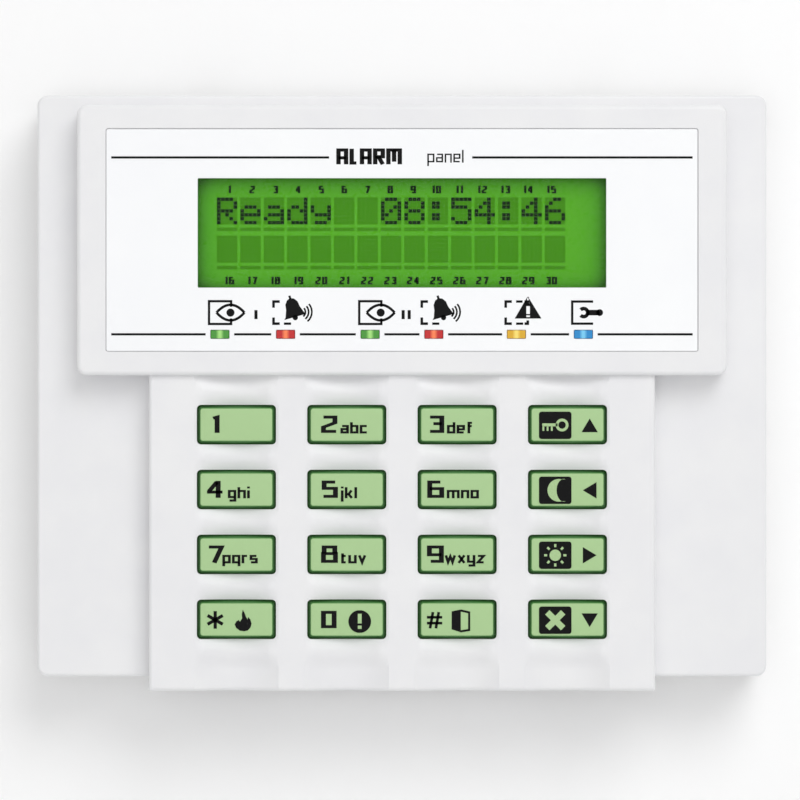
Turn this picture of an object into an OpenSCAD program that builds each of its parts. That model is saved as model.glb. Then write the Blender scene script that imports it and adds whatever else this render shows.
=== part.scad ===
// Wall-mounted alarm keypad with a two-line character display and sixteen backlit rubber keys.
// X runs across the panel, Z up it, and Y into the wall, so the front faces -Y.
// The origin is the centre of the wall screw pattern, on the wall plane.

/* [Housing] */
// Width of the housing
body_w = 113; // [111:1:118]
// Height of the housing without the lip under the keys
body_h = 90; // [90:1:94]
// Whole depth from the wall to the display bezel
body_d = 22; // [22:0.5:24]
// Thickness of the moulded walls
wall = 2; // [1.8:0.1:2.2]
// Corner radius of the housing outline
body_r = 1.6; // [1:0.1:2.5]
// Depth of the side wings from the wall
wing_d = 16; // [15.5:0.1:17]

/* [Display bezel] */
// Width of the raised display bezel
bezel_w = 100; // [99:1:102]
// Width of the printed fascia panel
fascia_w = 91; // [88:1:92]
// Height of the printed fascia panel
fascia_h = 34.2; // [34:0.1:34.6]
// Width of the display window
window_w = 62.8; // [60:0.1:63]
// Height of the display window
window_h = 16.8; // [16:0.1:17]

/* [Keypad] */
// Width of the raised keypad block
block_w = 78; // [78:1:80]
// How far the keypad block reaches below the housing
block_lip = 2; // [1:0.1:2.2]
// Distance between key columns
key_pitch_x = 17; // [16.8:0.1:17]
// Distance between key rows
key_pitch_z = 10; // [9.8:0.1:10]
// Width of a key
key_w = 11.9; // [11:0.1:12]
// Height of a key
key_h = 5.8; // [5:0.1:6]
// Travel of a key
key_travel = 1.2; // [0.8:0.1:1.2]
// Depth of the channel that each key column lies in
channel_depth = 1.4; // [1:0.1:1.5]

/* [Wall mounting] */
// Distance between the wall screws across the panel
screw_span_x = 84; // [80:1:86]
// Distance between the wall screws up the panel
screw_span_z = 60; // [56:1:62]
// Radius of a wall screw hole
screw_hole_r = 2.1; // [1.8:0.1:2.3]

/* [Hidden] */
NODES = ["rear_base", "front_shell", "fascia_panel", "lcd_window",
    "indicator_green", "indicator_red", "indicator_yellow", "indicator_blue",
    "lcd_frame", "lcd_glass", "lcd_backlight", "lcd_contact_strips", "lcd_board",
    "lcd_header", "lcd_screws", "key_mat", "main_board", "contact_pads", "key_leds",
    "status_leds", "microcontroller", "microcontroller_leads", "quartz_crystal",
    "voltage_regulator", "electrolytic_capacitors", "chip_resistors", "chip_capacitors",
    "terminal_block", "terminal_screws", "terminal_clamps", "buzzer_case", "buzzer_disc",
    "service_header", "service_pins", "tamper_switch", "tamper_spring", "tamper_plunger",
    "board_screws",
    "key_1", "key_2", "key_3", "key_up", "key_4", "key_5", "key_6", "key_left",
    "key_7", "key_8", "key_9", "key_right", "key_star", "key_0", "key_hash", "key_down"];
KEY_NAMES = [for (i = [38 : 53]) NODES[i]];
$fn = 48;

// Depths, measured from the wall towards the front, so a face lies at y = -depth
base_t = 2.2;
thin_t = 0.5;
shell_back = 2.5;
bezel_d = body_d;
fascia_d = bezel_d - 0.15;
fascia_back = bezel_d - 1.4;
fascia_floor = fascia_back - 1.4;
block_d = bezel_d - 1.2;
channel_d = block_d - channel_depth;
block_inner = channel_d - 1.6;
wing_inner = wing_d - wall;
board_front = 12.2;
board_t = 1.6;
board_back = board_front - board_t;

// Heights on the panel
bezel_top = body_h / 2 - 1.8;
bezel_h = 41.6;
bezel_bottom = bezel_top - bezel_h;
bezel_z = (bezel_top + bezel_bottom) / 2;
fascia_z = bezel_z;
display_z = bezel_z + 1.1;
indicator_z = bezel_z - 14.5;
block_bottom = -body_h / 2 - block_lip;
first_row_z = bezel_bottom - 7.6;
key_rows = 4;
key_columns = 4;

// Keys
key_r = 0.5;
key_gap = 0.15;
key_front = block_d + 0.2;
key_back = 14.6;
flange_front = block_inner - 0.3;
flange_t = 1;
pill_r = 2.2;
pill_back = board_front + key_travel + 0.1;
mat_front = board_front + 1.2;
mat_w = 65;
mat_top = 0.2;
mat_bottom = -body_h / 2 + 3.5;

// Hinge line of the front on the base hooks
hinge_y = -4.4;
hinge_z = body_h / 2 - 3;
hinge_pin_r = 0.8;
hook_bore_r = 0.86;
hook_r = 2;
hook_w = 5;
hook_x = 30;
pin_l = 9;

// Indicator windows: place across the panel of each lamp
indicator_w = 2.8;
indicator_h = 1.25;
green_x = [-28, -4.9];
red_x = [-17.9, 4.9];
yellow_x = [17.6];
blue_x = [27.9];
indicator_xs = concat(green_x, red_x, yellow_x, blue_x);

// Display module
frame_w = 71.2;
frame_h = 25.2;
frame_front = fascia_floor - 0.1;
frame_back = 14.6;
frame_wall = 0.4;
lcd_board_w = 80;
lcd_board_h = 28;
lcd_board_back = frame_back - 1.2;
lcd_screw_x = 37.8;
lcd_screw_z = 11.2;
lcd_post_r = 2;

// Main board and its screws: [x, z] of each boss
main_board_w = 104;
main_board_h = 82;
board_bosses = [[-44, 38], [44, 38], [-44, 6.5], [44, 6.5], [-35, -39.9], [35, -39.9]];
boss_r = 2.3;
boss_bore_r = 1.2;
screw_shank_r = 1.1;

// Parts on the back of the main board
terminal_poles = 6;
terminal_pitch = 5;
terminal_z = -4;
terminal_h = 8;
terminal_d = 7.2;
buzzer_x = 34;
buzzer_z = -22;
buzzer_r = 6.5;
buzzer_l = 6;
chip_x = -10;
chip_z = -22;
chip_w = 10;
tamper_x = -30;
tamper_z = -28;
tamper_body = 6;
tamper_back = board_back - 3.6;
tamper_pad_d = 4.4;
tamper_tip = tamper_pad_d + 0.1;
cable_w = 30;
cable_h = 14;
cable_z = 11;

// A box from x0 to x1 and z0 to z1, from the depth back to the depth front
module block_between(x0, x1, z0, z1, back, front) {
    translate([x0, -front, z0]) cube([x1 - x0, front - back, z1 - z0]);
}

// A box of width w and height h about [x, z]
module slab(w, h, back, front, x = 0, z = 0) {
    block_between(x - w / 2, x + w / 2, z - h / 2, z + h / 2, back, front);
}

// Outline of a rectangle with round corners
module round_outline(w, h, r) {
    square([w - 2 * r, h], center = true);
    square([w, h - 2 * r], center = true);
    for (sx = [-1, 1]) {
        for (sz = [-1, 1]) {
            translate([sx * (w / 2 - r), sz * (h / 2 - r)]) circle(r = r);
        }
    }
}

// Stands an outline up on the panel and gives it depth
module raised(back, front, x = 0, z = 0) {
    translate([x, -back, z]) rotate([90, 0, 0]) linear_extrude(height = front - back) children();
}

module round_slab(w, h, r, back, front, x = 0, z = 0) {
    raised(back, front, x, z) round_outline(w, h, r);
}

module rod(r, back, front, x = 0, z = 0) {
    translate([x, -back, z]) rotate([90, 0, 0]) cylinder(r = r, h = front - back);
}

// A rod that runs across the panel
module cross_rod(r, l, y, z, x = 0) {
    translate([x - l / 2, y, z]) rotate([0, 90, 0]) cylinder(r = r, h = l);
}

function key_x(column) = (column - (key_columns - 1) / 2) * key_pitch_x;
function key_z(row) = first_row_z - row * key_pitch_z;

module at_each_key() {
    for (row = [0 : key_rows - 1]) {
        for (column = [0 : key_columns - 1]) {
            translate([key_x(column), 0, key_z(row)]) children();
        }
    }
}

// ---- Base ----

// Hook that a hinge pin of the front drops into: open at the top, closed below and in front
module hinge_hook(x) {
    difference() {
        union() {
            cross_rod(hook_r, hook_w, hinge_y, hinge_z, x);
            block_between(x - hook_w / 2, x + hook_w / 2, hinge_z - hook_r, hinge_z - 1, base_t - 0.2, -hinge_y);
        }
        cross_rod(hook_bore_r, hook_w + 1, hinge_y, hinge_z, x);
        translate([x - hook_w, hinge_y - hook_bore_r, hinge_z]) cube([2 * hook_w, 6, 3]);
        translate([x - hook_w, hinge_y - hook_r - 1, hinge_z + 0.7]) cube([2 * hook_w, 6, 3]);
    }
}

module wall_screw_hole(x, z) {
    rod(screw_hole_r, -1, base_t + 2, x, z);
}

base_w = body_w - 0.8;
base_h = body_h - 0.8;
rim_gap = 0.5;
rim_t = 1.4;
rim_w = body_w - 2 * wall - 2 * rim_gap;
rim_d = 6.5;
rim_bottom = -body_h / 2 + wall + rim_gap;

module rear_base() {
    color("whitesmoke")
    difference() {
        union() {
            // The top edge is thin, so that the front's rear edge can swing past it
            round_slab(base_w, base_h, body_r, 0, thin_t);
            intersection() {
                round_slab(base_w, base_h, body_r, 0, base_t);
                slab(base_w + 2, base_h, -1, base_t + 1, 0, -4.1);
            }
            // Low rim inside the front's side and bottom walls
            for (side = [-1, 1]) {
                block_between(side > 0 ? rim_w / 2 - rim_t : -rim_w / 2,
                    side > 0 ? rim_w / 2 : -rim_w / 2 + rim_t,
                    rim_bottom, body_h / 2 - 12, base_t - 0.1, rim_d);
            }
            for (side = [-1, 1]) {
                block_between(side > 0 ? 14 : -rim_w / 2, side > 0 ? rim_w / 2 : -14,
                    rim_bottom, rim_bottom + rim_t, base_t - 0.1, 5);
                // Snap catches that the screwdriver slots reach
                block_between(side * 26 - 4, side * 26 + 4, block_bottom + wall + 0.3, rim_bottom + 0.1, 3, 4.4);
            }
            // Stiffening ribs
            for (z = [-14, 32]) {
                slab(rim_w - 8, 1.2, base_t - 0.1, base_t + 0.6, 0, z);
            }
            rod(3.6, base_t - 0.1, tamper_pad_d, tamper_x, tamper_z);
            for (side = [-1, 1]) {
                hinge_hook(side * hook_x);
                for (up = [-1, 1]) {
                    rod(4.4, 0.2, base_t + 1, side * screw_span_x / 2, up * screw_span_z / 2);
                }
            }
            // Raised frame round the cable entry
            round_slab(cable_w + 4, cable_h + 4, 3, 0.2, base_t + 0.8, 0, cable_z);
        }
        for (side = [-1, 1]) {
            for (up = [-1, 1]) {
                wall_screw_hole(side * screw_span_x / 2, up * screw_span_z / 2);
            }
        }
        round_slab(cable_w, cable_h, 2, -1, base_t + 2, 0, cable_z);
    }
}

// ---- Front shell ----

// Channel along a column of keys, with a low round ridge between the rows
channel_w = 13;
channel_r = (pow(channel_w / 2, 2) + pow(channel_depth, 2)) / (2 * channel_depth);
ridge_r = 9;
ridge_rise = 0.35;

module channel(column) {
    difference() {
        translate([key_x(column), -channel_d - channel_r, block_bottom - 1])
            cylinder(r = channel_r, h = bezel_bottom - block_bottom + 1, $fn = 96);
        for (gap = [0 : key_rows - 2]) {
            cross_rod(ridge_r, channel_w + 2, ridge_r - channel_d - ridge_rise,
                key_z(gap) - key_pitch_z / 2, key_x(column));
        }
    }
}

module front_outside() {
    round_slab(body_w, body_h, body_r, shell_back, wing_d);
    round_slab(bezel_w, bezel_h, 0.8, shell_back, bezel_d, 0, bezel_z);
    difference() {
        block_between(-block_w / 2, block_w / 2, block_bottom, bezel_bottom + 1, shell_back, block_d);
        for (column = [0 : key_columns - 1]) {
            channel(column);
        }
    }
}

module front_cavity() {
    slab(body_w - 2 * wall, body_h - 2 * wall, shell_back - 1, wing_inner);
    slab(bezel_w - 2 * wall, bezel_h - 2 * wall, shell_back - 1, fascia_floor, 0, bezel_z);
    block_between(-block_w / 2 + wall, block_w / 2 - wall, block_bottom + wall,
        bezel_bottom + 3, shell_back - 1, block_inner);
}

module front_shell() {
    color("white")
    difference() {
        union() {
            difference() {
                front_outside();
                front_cavity();
            }
            for (p = board_bosses) {
                rod(boss_r, board_front, p[1] > 0 ? fascia_floor + 0.1 : block_inner + 0.1, p[0], p[1]);
            }
            for (sx = [-1, 1]) {
                for (sz = [-1, 1]) {
                    rod(lcd_post_r, frame_back, fascia_floor + 0.1, sx * lcd_screw_x,
                        display_z + sz * lcd_screw_z);
                }
                // Hinge pins, each hung on two cheeks under the top wall
                cross_rod(hinge_pin_r, pin_l, hinge_y, hinge_z, sx * hook_x);
                for (cheek = [-1, 1]) {
                    block_between(sx * hook_x + cheek * (pin_l / 2 - 0.6) - 0.6,
                        sx * hook_x + cheek * (pin_l / 2 - 0.6) + 0.6,
                        hinge_z - 1.2, body_h / 2 - wall + 0.2, 3.2, 6.4);
                }
            }
            // Walls of the pocket that guides the indicator bars
            slab(60.6, 3, frame_back, fascia_floor + 0.1, 0, indicator_z);
        }
        // Recess of the fascia panel and the display opening behind it
        slab(fascia_w + 0.3, fascia_h + 0.3, fascia_back, bezel_d + 1, 0, fascia_z);
        slab(window_w + 3.2, window_h + 3.2, fascia_floor - 1, fascia_back + 1, 0, display_z);
        for (x = indicator_xs) {
            slab(indicator_w + 0.3, indicator_h + 0.3, 5, bezel_d, x, indicator_z);
        }
        at_each_key() round_slab(key_w + 2 * key_gap, key_h + 2 * key_gap, key_r + key_gap, 5, bezel_d + 1);
        for (p = board_bosses) {
            rod(boss_bore_r, board_front - 1, board_front + 4.5, p[0], p[1]);
        }
        for (sx = [-1, 1]) {
            for (sz = [-1, 1]) {
                rod(0.9, frame_back - 1, frame_back + 3.2, sx * lcd_screw_x, display_z + sz * lcd_screw_z);
            }
            // Notches that let the top wall swing past the hooks of the base
            block_between(sx * hook_x - 3.1, sx * hook_x + 3.1, hinge_z, body_h / 2 + 1, 1, 5.2);
            // Screwdriver slots over the snap catches, through the lip under the keys
            block_between(sx * 26 - 4.5, sx * 26 + 4.5, block_bottom - 1, -body_h / 2 + wall + 1, 2.9, 4.6);
        }
    }
}

// ---- Fascia, window and indicators ----

module fascia_panel() {
    color("white")
    difference() {
        round_slab(fascia_w, fascia_h, 0.3, fascia_back, fascia_d, 0, fascia_z);
        slab(window_w, window_h, fascia_back - 1, fascia_d + 1, 0, display_z);
        for (x = indicator_xs) {
            slab(indicator_w + 0.1, indicator_h + 0.1, fascia_back - 1, fascia_d + 1, x, indicator_z);
        }
    }
}

module lcd_window() {
    color("lightcyan", 0.3) slab(window_w + 3, window_h + 3, fascia_floor + 0.1, fascia_back, 0, display_z);
}

// Coloured light bars from the lamps on the board to the fascia
module indicator_bars(xs) {
    for (x = xs) {
        slab(indicator_w, indicator_h, board_front + 1.2, fascia_d - 0.05, x, indicator_z);
    }
}

module indicator_green() {
    color("limegreen") indicator_bars(green_x);
}

module indicator_red() {
    color("red") indicator_bars(red_x);
}

module indicator_yellow() {
    color("gold") indicator_bars(yellow_x);
}

module indicator_blue() {
    color("deepskyblue") indicator_bars(blue_x);
}

// ---- Display module ----

module lcd_frame() {
    color("dimgray")
    difference() {
        round_slab(frame_w, frame_h, 1, frame_back, frame_front, 0, display_z);
        slab(frame_w - 2 * frame_wall, frame_h - 2 * frame_wall, frame_back - 1,
            frame_front - frame_wall, 0, display_z);
        slab(window_w + 2, window_h + 1, frame_back, frame_front + 1, 0, display_z);
    }
}

module lcd_glass() {
    color("yellowgreen") slab(68, 21.6, frame_front - 2.2, frame_front - frame_wall, 0, display_z);
}

module lcd_backlight() {
    color("palegreen") slab(62, 15.4, frame_back + 0.1, frame_front - 2.3, 0, display_z);
}

module lcd_contact_strips() {
    color("pink")
    for (sz = [-1, 1]) {
        slab(60, 1.8, frame_back, frame_front - 2.2, 0, display_z + sz * 9.4);
    }
}

module lcd_board() {
    color("darkgreen")
    difference() {
        slab(lcd_board_w, lcd_board_h, lcd_board_back, frame_back, 0, display_z);
        for (sx = [-1, 1]) {
            for (sz = [-1, 1]) {
                rod(1.1, lcd_board_back - 1, frame_back + 1, sx * lcd_screw_x, display_z + sz * lcd_screw_z);
            }
        }
    }
}

module lcd_header() {
    color("black") slab(40.6, 2.5, board_front, lcd_board_back, 0, display_z + lcd_board_h / 2 - 2);
}

module pan_screw(x, z, seat, head_r, head_t, shank_r, shank_l) {
    difference() {
        union() {
            rod(head_r, seat - head_t, seat, x, z);
            rod(shank_r, seat - 0.1, seat + shank_l, x, z);
        }
        slab(head_r * 1.3, 0.4, seat - head_t - 1, seat - head_t + 0.6, x, z);
        slab(0.4, head_r * 1.3, seat - head_t - 1, seat - head_t + 0.6, x, z);
    }
}

module lcd_screws() {
    color("silver")
    for (sx = [-1, 1]) {
        for (sz = [-1, 1]) {
            pan_screw(sx * lcd_screw_x, display_z + sz * lcd_screw_z, lcd_board_back, 1.8, 1.1, 0.8, 3.9);
        }
    }
}

// ---- Keys ----

module key_cap() {
    color("darkseagreen") {
        round_slab(key_w, key_h, key_r, key_back, key_front);
        round_slab(key_w + 1.4, key_h + 1.4, 1, flange_front - flange_t, flange_front);
        rod(pill_r, pill_back, key_back + 0.5);
    }
}

module key_mat() {
    color("darkseagreen")
    difference() {
        union() {
            block_between(-mat_w / 2, mat_w / 2, mat_bottom, mat_top, board_front, mat_front);
            at_each_key() round_slab(key_w + 3, key_h + 3, 1.6, mat_front - 0.1, mat_front + 1);
        }
        at_each_key() round_slab(key_w + 1.6, key_h + 1.6, 1.1, board_front - 1, mat_front + 2);
        for (x = [-key_pitch_x, 0, key_pitch_x]) {
            for (row = [0 : key_rows - 1]) {
                slab(1.9, 2.8, board_front - 1, mat_front + 1, x, key_z(row));
            }
        }
        for (p = board_bosses) {
            rod(boss_r + 0.3, board_front - 1, mat_front + 2, p[0], p[1]);
        }
    }
}

// ---- Main board ----

module main_board() {
    color("green")
    difference() {
        slab(main_board_w, main_board_h, board_back, board_front - 0.05);
        for (p = board_bosses) {
            rod(1.3, board_back - 1, board_front + 1, p[0], p[1]);
        }
    }
}

module contact_pads() {
    color("gold")
    at_each_key() rod(pill_r + 0.4, board_front - 0.05, board_front);
}

module key_leds() {
    color("ivory")
    for (x = [-key_pitch_x, 0, key_pitch_x]) {
        for (row = [0 : key_rows - 1]) {
            slab(1.2, 2, board_front - 0.05, board_front + 0.8, x, key_z(row));
        }
    }
}

module status_leds() {
    color("ivory")
    for (x = indicator_xs) {
        slab(3, 1.5, board_front - 0.05, board_front + 1, x, indicator_z);
    }
}

// Parts on the back of the board start at board_back and grow towards the wall
module back_part(w, h, t, x, z) {
    slab(w, h, board_back - t, board_back, x, z);
}

module microcontroller() {
    color("black")
    translate([chip_x, 0, chip_z]) {
        slab(chip_w, chip_w, board_back - 1.5, board_back - 0.1);
    }
}

module microcontroller_leads() {
    color("silver")
    translate([chip_x, 0, chip_z]) {
        for (quarter = [0 : 3]) {
            rotate([0, quarter * 90, 0]) {
                for (i = [-5 : 5]) {
                    block_between(i * 0.8 - 0.17, i * 0.8 + 0.17, chip_w / 2, chip_w / 2 + 1.1,
                        board_back - 0.25, board_back);
                }
            }
        }
    }
}

module quartz_crystal() {
    color("silver")
    raised(board_back - 3, board_back, chip_x + 13, chip_z + 2) {
        square([6, 4.2], center = true);
        translate([-3, 0]) circle(d = 4.2);
        translate([3, 0]) circle(d = 4.2);
    }
}

module voltage_regulator() {
    color("black") back_part(6.5, 6, 2.2, 16, -16);
    color("silver") {
        back_part(5.2, 1.2, 0.9, 16, -12.4);
        for (x = [-2.2, 0, 2.2]) {
            back_part(0.9, 2.2, 0.5, 16 + x, -20.1);
        }
    }
}

module electrolytic_capacitors() {
    color("navy")
    for (p = [[18, -30, 3.2], [10, -31, 2.5], [26, 24, 3.2]]) {
        rod(p[2], board_back - 6, board_back, p[0], p[1]);
    }
}

chip_grid = [[-30, -8], [-26, -8], [-22, -8], [22, -6], [26, -6], [30, -6], [-24, -32], [-20, -34],
    [-16, -34], [-12, -34], [-8, -34], [-30, 22], [-26, 22], [-22, 22], [-18, 22]];

module chip_resistors() {
    color("black")
    for (p = chip_grid) {
        back_part(1.6, 0.8, 0.5, p[0], p[1]);
    }
}

module chip_capacitors() {
    color("burlywood")
    for (p = chip_grid) {
        back_part(1.6, 0.9, 0.8, p[0] + 1.2, p[1] + 2.4);
    }
}

function pole_x(i) = (i - (terminal_poles - 1) / 2) * terminal_pitch;

module terminal_block() {
    color("seagreen")
    difference() {
        back_part(terminal_poles * terminal_pitch, terminal_h, terminal_d, 0, terminal_z);
        for (i = [0 : terminal_poles - 1]) {
            rod(1.9, board_back - terminal_d - 1, board_back - 5.1, pole_x(i), terminal_z - 0.6);
            block_between(pole_x(i) - 1.7, pole_x(i) + 1.7, terminal_z - 2.2, terminal_z + terminal_h,
                board_back - 5.2, board_back - 1.4);
        }
    }
}

module terminal_screws() {
    color("silver")
    for (i = [0 : terminal_poles - 1]) {
        difference() {
            rod(1.6, board_back - terminal_d + 0.2, board_back - 5.4, pole_x(i), terminal_z - 0.6);
            slab(4, 0.5, board_back - terminal_d - 1, board_back - terminal_d + 0.7, pole_x(i), terminal_z - 0.6);
        }
    }
}

module terminal_clamps() {
    color("silver")
    for (i = [0 : terminal_poles - 1]) {
        difference() {
            block_between(pole_x(i) - 1.6, pole_x(i) + 1.6, terminal_z - 2.1, terminal_z + 3,
                board_back - 5.1, board_back - 1.5);
            block_between(pole_x(i) - 1.2, pole_x(i) + 1.2, terminal_z - 1.6, terminal_z + 4,
                board_back - 4.6, board_back - 2);
        }
    }
}

module buzzer_case() {
    color("black")
    difference() {
        rod(buzzer_r, board_back - buzzer_l, board_back, buzzer_x, buzzer_z);
        rod(buzzer_r - 0.9, board_back - buzzer_l + 0.9, board_back - 0.8, buzzer_x, buzzer_z);
        rod(1.1, board_back - buzzer_l - 1, board_back - 2, buzzer_x, buzzer_z);
    }
}

module buzzer_disc() {
    color("gold") rod(buzzer_r - 1, board_back - 3.4, board_back - 3, buzzer_x, buzzer_z);
}

header_x = 38;
header_z = 8;

module service_header() {
    color("black")
    difference() {
        back_part(5.1, 7.6, 2.5, header_x, header_z);
        for (sx = [-1, 1]) {
            for (row = [-1 : 1]) {
                slab(0.7, 0.7, board_back - 4, board_back + 1, header_x + sx * 1.27, header_z + row * 2.54);
            }
        }
    }
}

module service_pins() {
    color("gold")
    for (sx = [-1, 1]) {
        for (row = [-1 : 1]) {
            slab(0.6, 0.6, board_back - 7, board_back, header_x + sx * 1.27, header_z + row * 2.54);
        }
    }
}

// ---- Tamper switch ----

module tamper_switch() {
    color("black")
    difference() {
        slab(tamper_body, tamper_body, tamper_back, board_back, tamper_x, tamper_z);
        rod(1.3, tamper_back - 1, board_back - 0.6, tamper_x, tamper_z);
    }
}

module tamper_plunger() {
    color("ivory") {
        rod(1.2, tamper_tip, board_back - 1, tamper_x, tamper_z);
        rod(2.6, tamper_tip, tamper_tip + 0.7, tamper_x, tamper_z);
    }
}

// Coil round the plunger, swept along a helix
spring_r = 1.9;
spring_wire_r = 0.2;
spring_turns = 3;
spring_steps = 48;
spring_sides = 6;
spring_back = tamper_tip + 0.7 + spring_wire_r + 0.05;
spring_front = tamper_back - spring_wire_r - 0.05;

function spring_ring(i) = let (turn = 360 * spring_turns * i / spring_steps,
    depth = spring_back + (spring_front - spring_back) * i / spring_steps)
    [for (k = [0 : spring_sides - 1]) let (a = 360 * k / spring_sides, r = spring_r + spring_wire_r * cos(a))
        [tamper_x + r * cos(turn), -depth + spring_wire_r * sin(a), tamper_z + r * sin(turn)]];

module tamper_spring() {
    points = [for (i = [0 : spring_steps]) each spring_ring(i)];
    n = spring_sides;
    last = spring_steps * n;
    walls = [for (i = [0 : spring_steps - 1]) for (k = [0 : n - 1])
        [i * n + k, i * n + (k + 1) % n, (i + 1) * n + (k + 1) % n, (i + 1) * n + k]];
    ends = [[for (k = [n - 1 : -1 : 0]) k], [for (k = [0 : n - 1]) last + k]];
    color("silver") polyhedron(points = points, faces = concat(walls, ends));
}

module board_screws() {
    color("silver")
    for (p = board_bosses) {
        pan_screw(p[0], p[1], board_back, 2.4, 1.5, screw_shank_r, 5.6);
    }
}

// Keys are numbered along the rows, four to a row
module key_number(i) {
    translate([key_x(i % key_columns), 0, key_z(floor(i / key_columns))]) key_cap();
}

rear_base();
front_shell();
fascia_panel();
lcd_window();
indicator_green();
indicator_red();
indicator_yellow();
indicator_blue();
lcd_frame();
lcd_glass();
lcd_backlight();
lcd_contact_strips();
lcd_board();
lcd_header();
lcd_screws();
key_mat();
main_board();
contact_pads();
key_leds();
status_leds();
microcontroller();
microcontroller_leads();
quartz_crystal();
voltage_regulator();
electrolytic_capacitors();
chip_resistors();
chip_capacitors();
terminal_block();
terminal_screws();
terminal_clamps();
buzzer_case();
buzzer_disc();
service_header();
service_pins();
tamper_switch();
tamper_spring();
tamper_plunger();
board_screws();
for (i = [0 : len(KEY_NAMES) - 1]) {
    key_number(i);
}
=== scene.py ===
"""Builds the looks of a wall-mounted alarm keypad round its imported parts.

Sizes are in millimetres and become metres as a mesh is made. A place on the panel is given as x across it,
depth out from the wall, and z up it, so a point lies at (x, -depth, z) in the row frame.
"""

import logging
import math
from dataclasses import dataclass, field
from enum import Enum
from typing import Any, Callable, Iterable, Sequence

import bmesh
import bpy
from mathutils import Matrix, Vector


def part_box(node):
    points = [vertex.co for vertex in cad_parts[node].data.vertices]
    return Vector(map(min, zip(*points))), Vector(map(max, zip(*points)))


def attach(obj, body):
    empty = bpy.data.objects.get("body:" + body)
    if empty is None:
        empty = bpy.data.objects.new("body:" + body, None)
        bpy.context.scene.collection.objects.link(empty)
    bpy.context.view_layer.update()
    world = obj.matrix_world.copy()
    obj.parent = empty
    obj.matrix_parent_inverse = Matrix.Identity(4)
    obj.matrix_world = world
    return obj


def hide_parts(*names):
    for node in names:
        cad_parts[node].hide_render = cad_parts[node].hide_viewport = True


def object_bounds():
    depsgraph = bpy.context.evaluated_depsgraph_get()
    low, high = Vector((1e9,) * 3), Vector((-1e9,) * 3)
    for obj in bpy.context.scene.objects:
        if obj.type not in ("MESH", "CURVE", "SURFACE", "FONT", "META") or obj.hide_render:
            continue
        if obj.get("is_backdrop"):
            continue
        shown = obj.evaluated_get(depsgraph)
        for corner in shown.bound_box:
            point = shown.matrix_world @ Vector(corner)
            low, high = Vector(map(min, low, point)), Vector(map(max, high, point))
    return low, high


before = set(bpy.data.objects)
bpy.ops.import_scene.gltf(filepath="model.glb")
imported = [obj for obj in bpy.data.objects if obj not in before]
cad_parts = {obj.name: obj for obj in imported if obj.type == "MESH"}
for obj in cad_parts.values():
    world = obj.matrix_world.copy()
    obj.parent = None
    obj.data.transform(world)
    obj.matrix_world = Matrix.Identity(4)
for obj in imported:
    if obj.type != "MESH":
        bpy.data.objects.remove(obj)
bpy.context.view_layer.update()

log = logging.getLogger("keypad")
MM = 0.001
Point2 = tuple[float, float]
Point3 = tuple[float, float, float]


class Body(str, Enum):
    """The rigid bodies that more than one piece rides on."""

    BASE = "base"
    FRONT = "front"
    TAMPER = "tamper"


class Cut(str, Enum):
    """How one solid changes another."""

    ADD = "UNION"
    REMOVE = "DIFFERENCE"


# ---- Materials ----


def linear(colour: str) -> tuple[float, float, float, float]:
    """Turns an sRGB hex colour into linear light.

    Args:
        colour: The colour, such as "#F2F2F0".

    Returns:
        Red, green, blue and an alpha of 1.
    """
    parts = [int(colour[i : i + 2], 16) / 255 for i in (1, 3, 5)]
    red, green, blue = [p / 12.92 if p <= 0.04045 else ((p + 0.055) / 1.055) ** 2.4 for p in parts]
    return red, green, blue, 1.0


def add(tree: bpy.types.NodeTree, kind: str, sockets: dict[Any, Any] | None = None, **settings: Any) -> bpy.types.Node:
    """Adds a node to a tree.

    Args:
        tree: The tree that takes the node.
        kind: The node's type name.
        sockets: Input name or index to a constant, or to an output that is linked to it.
        **settings: The node's own properties.

    Returns:
        The new node.
    """
    node = tree.nodes.new(kind)
    for name, value in settings.items():
        setattr(node, name, value)
    for key, value in (sockets or {}).items():
        if isinstance(value, bpy.types.NodeSocket):
            tree.links.new(value, node.inputs[key])
        else:
            node.inputs[key].default_value = value
    return node


def ramp(tree: bpy.types.NodeTree, factor: bpy.types.NodeSocket,
         stops: Sequence[tuple[float, str]]) -> bpy.types.NodeSocket:
    """Turns a factor into a colour.

    Args:
        tree: The tree that takes the node.
        factor: The value that is looked up.
        stops: Place and sRGB hex colour of each stop, in order.

    Returns:
        The colour output.
    """
    node = add(tree, "ShaderNodeValToRGB", {"Fac": factor})
    band = node.color_ramp.elements
    while len(band) < len(stops):
        band.new(0.5)
    for element, (place, colour) in zip(band, stops):
        element.position, element.color = place, linear(colour)
    return node.outputs["Color"]


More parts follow.
